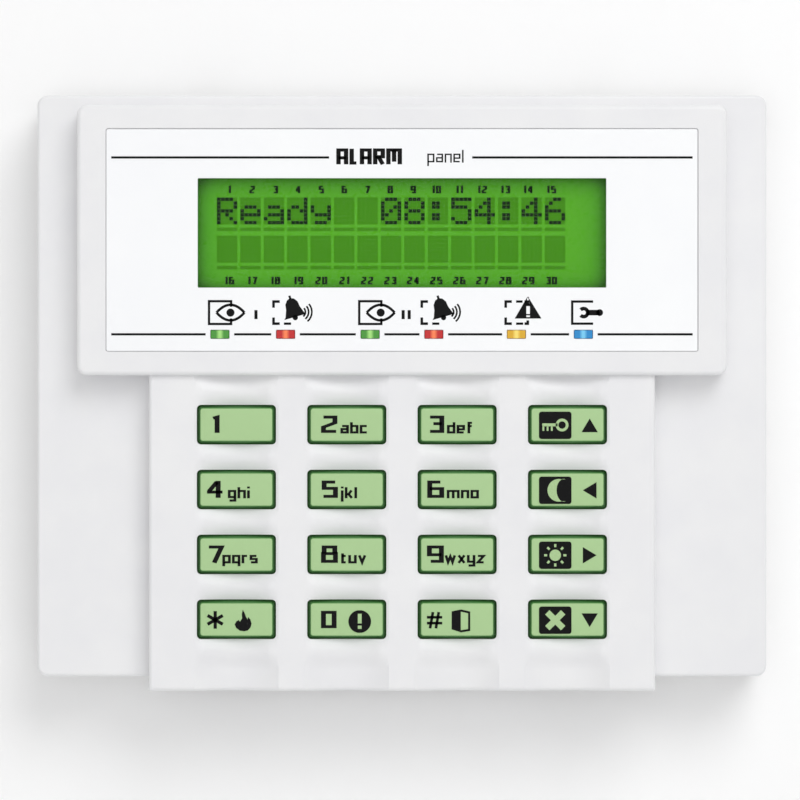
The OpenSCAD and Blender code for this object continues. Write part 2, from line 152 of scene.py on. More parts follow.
class Finish:
    """A material of the object, made once and shared by its pieces."""

    name: str

    def material(self) -> bpy.types.Material:
        """Gives the finish's material, building it at its first use."""
        found = bpy.data.materials.get(self.name)
        if found:
            return found
        made = bpy.data.materials.new(self.name)
        made.use_nodes = True
        tree = made.node_tree
        tree.nodes.clear()
        shader = self.shader(tree)
        add(tree, "ShaderNodeOutputMaterial", {"Surface": shader.outputs[0]})
        return made

    def shader(self, tree: bpy.types.NodeTree) -> bpy.types.Node:
        """Builds the surface shader. Each finish has its own."""
        raise NotImplementedError

    def place(self, tree: bpy.types.NodeTree) -> bpy.types.NodeSocket:
        """Gives object coordinates, which are metres in the row frame."""
        return add(tree, "ShaderNodeTexCoord").outputs["Object"]

    def grain(self, tree: bpy.types.NodeTree, size_mm: float, detail: float = 2.0) -> bpy.types.NodeSocket:
        """Gives a random pattern of one real size.

        Args:
            tree: The tree that takes the nodes.
            size_mm: The size of one grain.
            detail: How many finer layers lie on it.

        Returns:
            The pattern's value.
        """
        noise = add(tree, "ShaderNodeTexNoise",
                    {"Vector": self.place(tree), "Scale": 1 / (size_mm * MM), "Detail": detail, "Roughness": 0.5})
        return noise.outputs["Fac"]

    def relief(self, tree: bpy.types.NodeTree, height: bpy.types.NodeSocket, depth_mm: float) -> bpy.types.NodeSocket:
        """Gives the normal of a surface with a fine relief."""
        bump = add(tree, "ShaderNodeBump", {"Height": height, "Strength": 1.0, "Distance": depth_mm * MM})
        return bump.outputs["Normal"]

    def spread(self, tree: bpy.types.NodeTree, value: bpy.types.NodeSocket,
               low: float, high: float) -> bpy.types.NodeSocket:
        """Maps a pattern's middle range onto low to high."""
        return add(tree, "ShaderNodeMapRange", {"Value": value, "From Min": 0.3, "From Max": 0.7,
                                                "To Min": low, "To Max": high}).outputs["Result"]


@dataclass(frozen=True)
class MouldedPolymer(Finish):
    """Injection-moulded plastic: an even colour, and the faint soft grain of a spark-eroded mould."""

    name: str
    colour: str
    shade: str
    roughness: float = 0.42
    grain_mm: float = 0.35
    grain_depth_mm: float = 0.004
    ior: float = 1.53

    def shader(self, tree: bpy.types.NodeTree) -> bpy.types.Node:
        """Builds the shader: mottled colour over 8 mm patches, fine relief, slightly uneven gloss.

        Args:
            tree: The material's tree.

        Returns:
            The surface shader.
        """
        patches = self.grain(tree, 8.0, 3.0)
        fine = self.grain(tree, self.grain_mm)
        return add(tree, "ShaderNodeBsdfPrincipled", {
            "Base Color": ramp(tree, patches, [(0.35, self.shade), (0.65, self.colour)]),
            "Roughness": self.spread(tree, fine, self.roughness - 0.04, self.roughness + 0.04),
            "Normal": self.relief(tree, fine, self.grain_depth_mm), "IOR": self.ior})


@dataclass(frozen=True)
class BackPrintedAcrylic(Finish):
    """Cast acrylic sheet, white on its back: smooth, bright and glossy, with a barely uneven surface."""

    name: str
    colour: str
    shade: str
    roughness: float = 0.16

    def shader(self, tree: bpy.types.NodeTree) -> bpy.types.Node:
        """Builds the shader: even white under a clear glossy skin with a slow ripple.

        Args:
            tree: The material's tree.

        Returns:
            The surface shader.
        """
        patches = self.grain(tree, 14.0)
        return add(tree, "ShaderNodeBsdfPrincipled", {
            "Base Color": ramp(tree, patches, [(0.3, self.shade), (0.7, self.colour)]),
            "Roughness": self.spread(tree, self.grain(tree, 1.2), self.roughness - 0.02, self.roughness + 0.03),
            "Normal": self.relief(tree, patches, 0.004), "IOR": 1.49,
            "Coat Weight": 0.35, "Coat Roughness": 0.05})


@dataclass(frozen=True)
class ClearWindow(Finish):
    """Clear polished acrylic over the display: almost unseen but for its gloss."""

    name: str
    tint: str
    cover: float = 0.05

    def shader(self, tree: bpy.types.NodeTree) -> bpy.types.Node:
        """Builds the shader: a thin veil with polished gloss and faint wipe marks.

        Args:
            tree: The material's tree.

        Returns:
            The surface shader.
        """
        marks = self.grain(tree, 3.0)
        return add(tree, "ShaderNodeBsdfPrincipled", {
            "Base Color": ramp(tree, marks, [(0.3, self.tint), (0.7, "#101A10")]),
            "Roughness": self.spread(tree, marks, 0.04, 0.09),
            "Alpha": self.cover, "IOR": 1.49})


@dataclass(frozen=True)
class LitDisplayGlass(Finish):
    """Liquid crystal glass on a green light guide, lit from behind, with painted shade darkening it towards its frame
    where the window's recess would shade it.
    """

    name: str
    centre: Point3
    size: Point2
    bright: str
    half_shade: str
    edge: str
    glow: float = 0.5

    def shader(self, tree: bpy.types.NodeTree) -> bpy.types.Node:
        """Builds the shader: a green that darkens towards the edges as a rounded box does, as painted recess shade,
        with the polariser's fine streaks.

        Args:
            tree: The material's tree.

        Returns:
            The surface shader.
        """
        across, up = 2 / (self.size[0] * MM), 2 / (self.size[1] * MM)
        shifted = add(tree, "ShaderNodeMapping", {
            "Vector": self.place(tree), "Scale": (across, 1, up),
            "Location": (-self.centre[0] * MM * across, 0, -self.centre[2] * MM * up)})
        parts = add(tree, "ShaderNodeSeparateXYZ", {"Vector": shifted.outputs[0]})
        powers = [add(tree, "ShaderNodeMath", {0: add(tree, "ShaderNodeMath", {0: parts.outputs[axis]},
                                                      operation="ABSOLUTE").outputs[0], 1: steepness},
                      operation="POWER").outputs[0] for axis, steepness in (("X", 22.0), ("Z", 9.0))]
        recess_shade = add(tree, "ShaderNodeMath", {0: powers[0], 1: powers[1]}, operation="ADD").outputs[0]
        # Painted shade: the backlit green darkens towards the window's edges, standing in for the shade of the recess
        # the glass sits in.
        colour = ramp(tree, recess_shade, [(0.0, self.bright), (0.3, self.half_shade), (1.0, self.edge)])
        return add(tree, "ShaderNodeBsdfPrincipled", {
            "Base Color": colour, "Emission Color": colour, "Emission Strength": self.glow,
            "Roughness": self.spread(tree, self.grain(tree, 0.6), 0.25, 0.32), "IOR": 1.52,
            "Specular IOR Level": 0.2})


@dataclass(frozen=True)
class PrintedInk(Finish):
    """Screen-printed ink: dense and flat, with the slight mesh of the screen in its gloss."""

    name: str
    colour: str
    shade: str
    roughness: float = 0.5

    def shader(self, tree: bpy.types.NodeTree) -> bpy.types.Node:
        """Builds the shader: near-even colour, with a screen of 0.12 mm in its relief.

        Args:
            tree: The material's tree.

        Returns:
            The surface shader.
        """
        screen = self.grain(tree, 0.12, 0.0)
        return add(tree, "ShaderNodeBsdfPrincipled", {
            "Base Color": ramp(tree, screen, [(0.4, self.shade), (0.6, self.colour)]),
            "Roughness": self.spread(tree, screen, self.roughness - 0.05, self.roughness + 0.05),
            "Normal": self.relief(tree, screen, 0.001), "IOR": 1.5, "Specular IOR Level": 0.12})


@dataclass(frozen=True)
class BacklitSilicone(Finish):
    """Moulded silicone key over a green lamp: pale on its face, and darkened down its sides by painted shade of the
    slot it sits in, over the silicone's own green.
    """

    name: str
    face: str
    rim: str
    shaded_root: str
    face_depth: float
    side_mm: float = 0.9
    glow: float = 0.16

    def shader(self, tree: bpy.types.NodeTree) -> bpy.types.Node:
        """Builds the shader: colour by depth under the face, darkening down the sides as painted slot shade, with the
        soft haze of silicone.

        Args:
            tree: The material's tree.

        Returns:
            The surface shader.
        """
        depth = add(tree, "ShaderNodeSeparateXYZ", {"Vector": self.place(tree)}).outputs["Y"]
        # Painted shade: below the face the colour darkens to deep green down the sides, standing in for the shade in
        # the slot round the key.
        below = add(tree, "ShaderNodeMapRange", {
            "Value": depth, "From Min": -self.face_depth * MM, "From Max": (-self.face_depth + self.side_mm) * MM,
            "To Min": 0.0, "To Max": 1.0}).outputs["Result"]
        colour = ramp(tree, below, [(0.0, self.face), (0.12, self.face), (0.3, self.rim), (1.0, self.shaded_root)])
        fine = self.grain(tree, 0.25)
        return add(tree, "ShaderNodeBsdfPrincipled", {
            "Base Color": colour, "Emission Color": colour, "Emission Strength": self.glow,
            "Roughness": self.spread(tree, fine, 0.52, 0.62), "Normal": self.relief(tree, fine, 0.004),
            "IOR": 1.41, "Sheen Weight": 0.1, "Sheen Roughness": 0.4})


@dataclass(frozen=True)
class LitLens(Finish):
    """Tinted polycarbonate light bar: a bright band where its lamp shines through, darker towards its ends."""

    name: str
    bright: str
    deep: str
    middles: tuple[float, ...]
    length_mm: float
    glow: float = 0.8

    def shader(self, tree: bpy.types.NodeTree) -> bpy.types.Node:
        """Builds the shader: the tint by distance from the nearest bar's middle, under a polished face.

        Args:
            tree: The material's tree.

        Returns:
            The surface shader.
        """
        across = add(tree, "ShaderNodeSeparateXYZ", {"Vector": self.place(tree)}).outputs["X"]
        nearest = None
        for middle in self.middles:
            off = add(tree, "ShaderNodeMath", {0: across, 1: middle * MM}, operation="SUBTRACT").outputs[0]
            off = add(tree, "ShaderNodeMath", {0: off}, operation="ABSOLUTE").outputs[0]
            nearest = off if nearest is None else add(tree, "ShaderNodeMath", {0: nearest, 1: off},
                                                      operation="MINIMUM").outputs[0]
        share = add(tree, "ShaderNodeMath", {0: nearest, 1: 2 / (self.length_mm * MM)}, operation="MULTIPLY").outputs[0]
        colour = ramp(tree, share, [(0.0, self.bright), (0.1, self.bright), (0.42, self.deep), (1.0, self.deep)])
        return add(tree, "ShaderNodeBsdfPrincipled", {
            "Base Color": colour, "Emission Color": colour, "Emission Strength": self.glow,
            "Roughness": self.spread(tree, self.grain(tree, 0.5), 0.12, 0.2), "IOR": 1.58,
            "Specular IOR Level": 0.3, "Coat Weight": 0.1})


@dataclass(frozen=True)
class PlatedMetal(Finish):
    """Plated or tinned metal: bright, with the fine lines of drawing or stamping along one way."""

    name: str
    colour: str
    shade: str
    roughness: float = 0.3
    line_mm: float = 0.15

    def shader(self, tree: bpy.types.NodeTree) -> bpy.types.Node:
        """Builds the shader: a metal with stretched fine lines in its colour and gloss.

        Args:
            tree: The material's tree.

        Returns:
            The surface shader.
        """
        stretched = add(tree, "ShaderNodeMapping", {"Vector": self.place(tree), "Scale": (0.08, 1.0, 1.0)})
        lines = add(tree, "ShaderNodeTexNoise", {"Vector": stretched.outputs[0], "Scale": 1 / (self.line_mm * MM),
                                                 "Detail": 2.0}).outputs["Fac"]
        return add(tree, "ShaderNodeBsdfPrincipled", {
            "Base Color": ramp(tree, lines, [(0.3, self.shade), (0.7, self.colour)]), "Metallic": 1.0,
            "Roughness": self.spread(tree, lines, self.roughness - 0.06, self.roughness + 0.08),
            "Normal": self.relief(tree, lines, 0.002)})


@dataclass(frozen=True)
class CircuitBoardMask(Finish):
    """Glass-epoxy board under green solder mask, with copper tracks that show as paler lines."""

    name: str
    mask: str
    track: str
    pitch_mm: float = 1.27

    def shader(self, tree: bpy.types.NodeTree) -> bpy.types.Node:
        """Builds the shader: stepped tracks about one pitch apart, raised under a glossy mask.

        Args:
            tree: The material's tree.

        Returns:
            The surface shader.
        """
        place = self.place(tree)
        cells = add(tree, "ShaderNodeTexVoronoi", {"Vector": place, "Scale": 1 / (6 * self.pitch_mm * MM),
                                                   "Randomness": 0.9}, distance="CHEBYCHEV")
        bands = add(tree, "ShaderNodeMath", {0: cells.outputs["Distance"], 1: 6 * math.tau}, operation="MULTIPLY")
        wave = add(tree, "ShaderNodeMath", {0: bands.outputs[0]}, operation="SINE").outputs[0]
        lines = add(tree, "ShaderNodeMapRange", {"Value": wave, "From Min": 0.35, "From Max": 0.55}).outputs["Result"]
        return add(tree, "ShaderNodeBsdfPrincipled", {
            "Base Color": ramp(tree, lines, [(0.0, self.mask), (1.0, self.track)]),
            "Roughness": self.spread(tree, self.grain(tree, 0.4), 0.24, 0.34),
            "Normal": self.relief(tree, lines, 0.03), "IOR": 1.55, "Coat Weight": 0.3})


@dataclass(frozen=True)
class StageWall(Finish):
    """Matt paint on the wall or floor that shows only from its front, so the panel is seen from behind and below."""

    name: str
    colour: str

    def shader(self, tree: bpy.types.NodeTree) -> bpy.types.Node:
        """Builds the shader: fine roller texture, and clear from behind.

        Args:
            tree: The material's tree.

        Returns:
            The surface shader.
        """
        paint = add(tree, "ShaderNodeBsdfPrincipled", {"Base Color": linear(self.colour), "Roughness": 0.8,
                                                       "Normal": self.relief(tree, self.grain(tree, 1.5), 0.02)})
        behind = add(tree, "ShaderNodeNewGeometry").outputs["Backfacing"]
        return add(tree, "ShaderNodeMixShader", {0: behind, 1: paint.outputs[0],
                                                 2: add(tree, "ShaderNodeBsdfTransparent").outputs[0]})


# ---- Meshes ----


@dataclass(frozen=True)
class Outline:
    """A rectangle with round corners, about a place on the panel."""

    width: float
    height: float
    radius: float = 0.05
    x: float = 0.0
    z: float = 0.0

    def inset(self, by: float) -> "Outline":
        """Gives the outline moved inwards on every side."""
        return Outline(self.width - 2 * by, self.height - 2 * by, max(self.radius - by, 0.03), self.x, self.z)

    def points(self, steps: int = 6) -> list[Point2]:
        """Gives the outline's points, with the same number at each corner.

        Args:
            steps: Points on each corner, less one.

        Returns:
            Points (x, z), the same way round for every outline.
        """
        found = []
        for quarter, (sx, sz) in enumerate(((1, 1), (-1, 1), (-1, -1), (1, -1))):
            for i in range(steps + 1):
                angle = math.radians(90 * quarter + 90 * i / steps)
                found.append((self.x + sx * (self.width / 2 - self.radius) + self.radius * math.cos(angle),
                              self.z + sz * (self.height / 2 - self.radius) + self.radius * math.sin(angle)))
        return found


def edge_round(outline: Outline, depth: float, radius: float, steps: int = 5) -> list[tuple[Outline, float]]:
    """Rounds the front edge of a raised block.

    Args:
        outline: The block's outline below the round.
        depth: The depth of its front face.
        radius: The size of the round.
        steps: How many facets it has.

    Returns:
        Outlines and their depths, from the side to the face.
    """
    angles = [math.radians(90 * i / steps) for i in range(steps + 1)]
    return [(outline.inset(radius * (1 - math.cos(a))), depth - radius * (1 - math.sin(a))) for a in angles]


class Skin:
    """Collects the vertices and faces of one piece, in millimetres on the panel."""

    def __init__(self) -> None:
        """Starts an empty skin."""
        self.points: list[Point3] = []
        self.faces: list[tuple[int, ...]] = []

    def ring(self, outline: Iterable[Point2], depth: float) -> list[int]:
        """Adds a ring of points at one depth and gives their numbers."""
        start = len(self.points)
        self.points += [(x, depth, z) for x, z in outline]
        return list(range(start, len(self.points)))

    def bridge(self, first: Sequence[int], second: Sequence[int]) -> None:
        """Joins two rings of the same length with faces.

        Args:
            first: The numbers of one ring.
            second: The numbers of the other.
        """
        count = len(first)
        for i in range(count):
            j = (i + 1) % count
            self.faces.append((first[i], first[j], second[j], second[i]))

    def loft(self, sections: Sequence[tuple[Outline, float]], steps: int = 6) -> None:
        """Skins a stack of outlines and closes each end with a face.

        Args:
            sections: Outlines and their depths, in order.
            steps: Points on each outline's corner, less one.
        """
        rings = [self.ring(outline.points(steps), depth) for outline, depth in sections]
        for first, second in zip(rings, rings[1:]):
            self.bridge(first, second)
        self.faces += [tuple(rings[0]), tuple(rings[-1])]

    def prism(self, outline: Sequence[Point2], back: float, front: float) -> None:
        """Adds a flat solid of any outline between two depths."""
        first, second = self.ring(outline, back), self.ring(outline, front)
        self.bridge(first, second)
        self.faces += [tuple(first), tuple(second)]

    def block(self, low: Point3, high: Point3) -> None:
        """Adds a box between two corners, each (x, depth, z)."""
        self.prism([(low[0], low[2]), (high[0], low[2]), (high[0], high[2]), (low[0], high[2])], low[1], high[1])

    def cross_rod(self, radius: float, length: float, centre: Point3, sides: int = 32) -> None:
        """Adds a rod that runs across the panel.

        Args:
            radius: The rod's radius.
            length: The rod's length.
            centre: The rod's middle, as (x, depth, z).
            sides: How many facets it has.
        """
        rings = []
        for x in (centre[0] - length / 2, centre[0] + length / 2):
            start = len(self.points)
            for i in range(sides):
                angle = math.tau * i / sides
                self.points.append((x, centre[1] + radius * math.cos(angle), centre[2] + radius * math.sin(angle)))
            rings.append(list(range(start, len(self.points))))
        self.bridge(*rings)
        self.faces += [tuple(rings[0]), tuple(rings[1])]

    def sheet(self, xs: Sequence[float], zs: Sequence[float], depth_at: Callable[[float, float], float],
              back: float) -> None:
        """Adds a block whose front face follows a rule.

        Args:
            xs: Places of the grid lines across the panel.
            zs: Places of the grid lines up the panel.
            depth_at: Gives the front's depth at (x, z).
            back: The depth of the flat back.
        """
        start, width = len(self.points), len(xs)
        self.points += [(x, depth_at(x, z), z) for z in zs for x in xs]
        number = lambda i, j: start + j * width + i
        for j in range(len(zs) - 1):
            for i in range(width - 1):
                self.faces.append((number(i, j), number(i + 1, j), number(i + 1, j + 1), number(i, j + 1)))
        last_i, last_j = width - 1, len(zs) - 1
        border = [number(i, 0) for i in range(last_i)] + [number(last_i, j) for j in range(last_j)]
        border += [number(i, last_j) for i in range(last_i, 0, -1)] + [number(0, j) for j in range(last_j, 0, -1)]
        floor = self.ring([(self.points[k][0], self.points[k][2]) for k in border], back)
        self.bridge(border, floor)
        self.faces.append(tuple(floor))

    def build(self, name: str) -> bpy.types.Object:
        """Makes the piece's object, with its faces pointing outwards.

        Args:
            name: The piece's name.

        Returns:
            An object at the origin whose mesh is in metres in the row frame.
        """
        mesh = bpy.data.meshes.new(name)
        mesh.from_pydata([(x * MM, -depth * MM, z * MM) for x, depth, z in self.points], [], self.faces)
        return dressed_object(name, mesh)


def dressed_object(name: str, mesh: bpy.types.Mesh, merge_mm: float = 1e-4) -> bpy.types.Object:
    """Cleans a mesh and puts it in the scene.

    Args:
        name: The object's name.
        mesh: The mesh, in metres.
        merge_mm: Points nearer than this become one.

    Returns:
        The new object.
    """
    work = bmesh.new()
    work.from_mesh(mesh)
    bmesh.ops.remove_doubles(work, verts=work.verts, dist=merge_mm * MM)
    bmesh.ops.recalc_face_normals(work, faces=work.faces)
    work.to_mesh(mesh)
    work.free()
    made = bpy.data.objects.new(name, mesh)
    bpy.context.scene.collection.objects.link(made)
    return made


def settle(piece: bpy.types.Object) -> bpy.types.Object:
    """Turns a piece's modifiers into a plain mesh.

    Args:
        piece: The object, with its modifiers set.

    Returns:
        The same object, with the modifiers' result as its mesh.
    """
    graph = bpy.context.evaluated_depsgraph_get()
    mesh = bpy.data.meshes.new_from_object(piece.evaluated_get(graph))
    piece.modifiers.clear()
    piece.data = mesh
    return piece


def cut(piece: bpy.types.Object, tool: Skin, way: Cut) -> None:
    """Adds a solid to a piece, or takes it away.

    Args:
        piece: The object that changes.
        tool: The solid that changes it.
        way: Whether it is added or removed.
    """
    other = tool.build(piece.name + "_tool")
    modifier = piece.modifiers.new("shape", "BOOLEAN")
    modifier.operation, modifier.object, modifier.solver = way.value, other, "EXACT"
    modifier.use_self = way is Cut.REMOVE
    settle(piece)
    bpy.data.objects.remove(other)


def shade(piece: bpy.types.Object, crease_degrees: float) -> None:
    """Smooths a piece's faces, but for its creases, and keeps its large faces flat beside their rounded edges.

    Args:
        piece: The object.
        crease_degrees: Faces that meet at more than this keep a crease.
    """
    piece.data.shade_smooth()
    piece.data.set_sharp_from_angle(angle=math.radians(crease_degrees))
    level = piece.modifiers.new("level", "WEIGHTED_NORMAL")
    level.keep_sharp, level.mode, level.weight = True, "FACE_AREA", 100
    settle(piece)


def finish_piece(piece: bpy.types.Object, body: str, finish: Finish | None = None,
                 replaces: Sequence[str] = (), crease_degrees: float = 30) -> bpy.types.Object:
    """Dresses a piece and hands it to its body.

    Args:
        piece: The finished object.
        body: The body it rides on.
        finish: Its material, where it has none yet.
        replaces: The CAD nodes it stands for.
        crease_degrees: Faces that meet at more than this keep a crease.

    Returns:
        The same object.
    """
    if finish:
        piece.data.materials.clear()
        piece.data.materials.append(finish.material())
    shade(piece, crease_degrees)
    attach(piece, body)
    if replaces:
        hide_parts(*replaces)
    log.info("%s: %d faces, rides on %s", piece.name, len(piece.data.polygons), body)
    return piece


def softened(node: str, name: str, edge_mm: float, segments: int = 2) -> bpy.types.Object:
    """Copies a CAD node and rounds its edges, as a mould or a press would leave them.

    Args:
        node: The CAD node.
        name: The new piece's name.
        edge_mm: The size of the rounds.
        segments: How many facets a round has.

    Returns:
        A new object of the same shape with soft edges.
    """
    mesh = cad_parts[node].data.copy()
    mesh.name = name
    for attribute in [a.name for a in mesh.attributes if a.name in ("custom_normal", "sharp_edge")]:
        mesh.attributes.remove(mesh.attributes[attribute])
    work = bmesh.new()
    work.from_mesh(mesh)
    bmesh.ops.remove_doubles(work, verts=work.verts, dist=2e-3 * MM)
    bmesh.ops.dissolve_limit(work, angle_limit=math.radians(1.0), verts=work.verts, edges=work.edges)
    sharp = [e for e in work.edges if len(e.link_faces) == 2 and e.calc_face_angle() > math.radians(35)]
    bmesh.ops.bevel(work, geom=sharp, offset=edge_mm * MM, offset_type="OFFSET", segments=segments, profile=0.5,
                    affect="EDGES", clamp_overlap=True, harden_normals=False)
    work.to_mesh(mesh)
    work.free()
    made = bpy.data.objects.new(name, mesh)
    bpy.context.scene.collection.objects.link(made)
    return made


# ---- Line drawing ----


Line = tuple[Point2, ...]
GLYPHS: dict[str, tuple[Line, ...]] = {
    "A": (((0, -0.1), (0, 1), (1, 1), (1, -0.1)), ((0, 0.4), (1, 0.4))),
    "L": (((0, 1.1), (0, 0), (0.62, 0)),),
    "R": (((0, -0.1), (0, 1), (1, 1), (1, 0.48), (0, 0.48)), ((0.45, 0.48), (1.0, -0.1))),
    "M": (((0, -0.1), (0, 1), (1.5, 1), (1.5, -0.1)), ((0.75, 1), (0.75, 0.1))),
    "a": (((0.05, 1), (0.9, 1), (0.9, 0), (0, 0), (0, 0.52), (0.9, 0.52)),),
    "b": (((0, 1.6), (0, 0), (0.9, 0), (0.9, 1), (0, 1)),), "c": (((0.9, 1), (0, 1), (0, 0), (0.9, 0)),),
    "d": (((0.9, 1.6), (0.9, 0), (0, 0), (0, 1), (0.9, 1)),),
    "e": (((0.9, 0), (0, 0), (0, 1), (0.9, 1), (0.9, 0.48), (0, 0.48)),),
    "f": (((0.7, 1.5), (0.2, 1.5), (0.2, -0.14)), ((0, 1), (0.65, 1))),
    "g": (((0.9, 0.05), (0, 0.05), (0, 1), (0.9, 1), (0.9, -0.5), (0.05, -0.5)),),
    "h": (((0, 1.6), (0, -0.14)), ((0, 1), (0.9, 1), (0.9, -0.14))),
    "i": (((0, 1.1), (0, -0.14)), ((0, 1.4), (0, 1.7))),
    "j": (((0.2, 1.1), (0.2, -0.5), (0, -0.5)), ((0.2, 1.4), (0.2, 1.7))),
    "k": (((0, 1.6), (0, -0.14)), ((0, 0.5), (0.4, 0.5), (0.85, 1.1)), ((0.4, 0.5), (0.9, -0.1))),
    "l": (((0, 1.6), (0, -0.14)),), "m": (((0, -0.14), (0, 1), (1.6, 1), (1.6, -0.14)), ((0.8, 1), (0.8, -0.14))),
    "n": (((0, -0.14), (0, 1), (0.9, 1), (0.9, -0.14)),), "o": (((0, 0), (0, 1), (0.9, 1), (0.9, 0), (0, 0)),),
    "p": (((0, -0.6), (0, 1), (0.9, 1), (0.9, 0), (0, 0)),), "q": (((0.9, -0.6), (0.9, 1), (0, 1), (0, 0), (0.9, 0)),),
    "r": (((0, -0.14), (0, 1), (0.65, 1)),), "s": (((0.85, 1), (0, 1), (0, 0.52), (0.85, 0.52), (0.85, 0), (0, 0)),),
    "t": (((0.2, 1.4), (0.2, 0), (0.7, 0)), ((0, 1), (0.7, 1))), "u": (((0, 1.14), (0, 0), (0.9, 0), (0.9, 1.14)),),
    "v": (((0, 1.1), (0.45, 0), (0.9, 1.1)),), "w": (((0, 1.1), (0.35, 0.05), (0.7, 0.9), (1.05, 0.05), (1.4, 1.1)),),
    "x": (((0, 1.1), (0.9, -0.1)), ((0, -0.1), (0.9, 1.1))),
    "y": (((0, 1.14), (0, 0.1), (0.9, 0.1)), ((0.9, 1.14), (0.9, -0.5), (0.05, -0.5))),
    "z": (((0, 1), (0.9, 1), (0, 0), (0.9, 0)),),
    "0": (((0, 0), (0, 1), (0.8, 1), (0.8, 0), (0, 0)),), "1": (((0, 0.92), (0.3, 1), (0.3, -0.1)),),
    "2": (((0, 1), (0.86, 1), (0.86, 0.6), (0, 0.3), (0, 0), (0.95, 0)),),
    "3": (((0, 1), (0.88, 1), (0.88, 0), (0, 0)), ((0.25, 0.54), (0.88, 0.54))),
    "4": (((0.72, -0.1), (0.72, 1.08)), ((0.62, 1.0), (0.04, 0.36)), ((-0.12, 0.3), (1.05, 0.3))),
    "5": (((0.88, 1), (0.05, 1), (0.05, 0.56), (0.9, 0.56), (0.9, 0), (0, 0)),),
    "6": (((0.8, 1), (0, 1), (0, 0), (0.9, 0), (0.9, 0.54), (0, 0.54)),),
    "7": (((0, 1), (0.95, 1), (0.4, -0.1)),),
    "8": (((0.05, 0.54), (0.05, 1), (0.85, 1), (0.85, 0.54)), ((0, 0.54), (0, 0), (0.9, 0), (0.9, 0.54), (0, 0.54))),
    "9": (((0.9, 0.46), (0, 0.46), (0, 1), (0.9, 1), (0.9, 0), (0.1, 0)),)}


@dataclass(frozen=True)
class Lettering:
    """The sizes of one squared lettering, along the middles of its strokes."""

    width: float
    height: float
    stroke: float
    advance: float
    flat: float = 0.75


def turned(outline: Iterable[Point2], angle: float, x: float, z: float, scale: float = 1.0) -> list[Point2]:
    """Turns an outline about its own middle, sizes it, and puts it at a place.

    Args:
        outline: Its points about (0, 0).
        angle: The turn in radians, anticlockwise.
        x: The place across the panel.
        z: The place up the panel.
        scale: Its size as a share of what it was.

    Returns:
        The points on the panel.
    """
    cosine, sine = scale * math.cos(angle), scale * math.sin(angle)
    return [(x + u * cosine - v * sine, z + u * sine + v * cosine) for u, v in outline]


class Drawing:
    """Draws thin raised print: strokes and filled shapes on the panel at one depth."""

    def __init__(self, depth: float, rise: float = 0.02, sunk: float = 0.02) -> None:
        """Starts an empty drawing.

        Args:
            depth: The depth of the printed face.
            rise: How far the ink stands out of it.
            sunk: How far it reaches into it.
        """
        self.skin = Skin()
        self.back, self.front = depth - sunk, depth + rise

    def fill(self, outline: Sequence[Point2]) -> None:
        """Fills an outline."""
        self.skin.prism(list(outline), self.back, self.front)

    def box(self, x0: float, z0: float, x1: float, z1: float) -> None:
        """Fills a rectangle."""
        self.fill([(x0, z0), (x1, z0), (x1, z1), (x0, z1)])

    def stroke(self, points: Sequence[Point2], width: float, closed: bool = False, flat: float = 1.0) -> None:
        """Draws a line with mitred corners and square ends.

        Args:
            points: The line's corners.
            width: Its width where it runs up the panel.
            closed: True joins its end to its start.
            flat: Its width where it runs across the panel, as a share of width.
        """
        count = len(points)
        sides: tuple[list[Point2], list[Point2]] = ([], [])
        for i, (x, z) in enumerate(points):
            before = points[i - 1] if closed or i else None
            after = points[(i + 1) % count] if closed or i < count - 1 else None
            ways = [Vector((b[0] - a[0], b[1] - a[1])).normalized()
                    for a, b in ((before, (x, z)), ((x, z), after)) if a is not None and b is not None]
            offsets = [Vector((-w.y * width / 2, w.x * width * flat / 2)) for w in ways]
            if len(ways) == 2 and abs(ways[0].cross(ways[1])) > 0.05:
                first, second = offsets
                gap = second - first
                along = gap.cross(ways[1]) / ways[0].cross(ways[1])
                offset = first + ways[0] * max(-2 * width, min(2 * width, along))
            else:
                offset = offsets[-1]
            sides[0].append((x + offset.x, z + offset.y))
            sides[1].append((x - offset.x, z - offset.y))
        spans = count if closed else count - 1
        for i in range(spans):
            j = (i + 1) % count
            self.fill([sides[0][i], sides[0][j], sides[1][j], sides[1][i]])

    def arc(self, x: float, z: float, radius: float, start: float, end: float, width: float) -> None:
        """Draws a curved line.

        Args:
            x: Its centre across the panel.
            z: Its centre up the panel.
            radius: Its radius.
            start: Its first angle in degrees, from the right, anticlockwise.
            end: Its last angle.
            width: The line's width.
        """
        steps = max(3, int(abs(end - start) / 12))
        angles = [math.radians(start + (end - start) * i / steps) for i in range(steps + 1)]
        whole = abs(end - start) >= 360
        points = [(x + radius * math.cos(a), z + radius * math.sin(a)) for a in angles]
        self.stroke(points[:-1] if whole else points, width, whole)

    def disc(self, x: float, z: float, radius: float, sides: int = 28) -> None:
        """Fills a circle."""
        self.fill([(x + radius * math.cos(math.tau * i / sides), z + radius * math.sin(math.tau * i / sides))
                   for i in range(sides)])

    def build(self, name: str, body: str, finish: Finish, slot: str) -> bpy.types.Object:
        """Makes the print a piece that rides on a body."""
        return finish_piece(self.skin.build(name), body, finish, crease_degrees=20)

    def letters(self, text: str, x: float, z: float, size: Lettering, centred: bool = False) -> None:
        """Draws plain squared lettering, stroke by stroke.

        Args:
            text: The characters.
            x: The left edge across the panel, or the middle if centred.
            z: The baseline.
            size: The lettering's sizes.
            centred: True centres the line on x.
        """
        widths = [max((point[0] for line in GLYPHS[c] for point in line), default=0.0) * size.width for c in text]
        if centred:
            x -= (sum(widths) + size.stroke + size.advance * (len(text) - 1)) / 2
        at, low = x + size.stroke / 2, z + size.stroke * size.flat / 2
        for character, width in zip(text, widths):
            for line in GLYPHS[character]:
                points = [(at + u * size.width, low + v * size.height) for u, v in line]
                closed = len(points) > 2 and points[0] == points[-1]
                self.stroke(points[:-1] if closed else points, size.stroke, closed, size.flat)
            at += width + size.advance


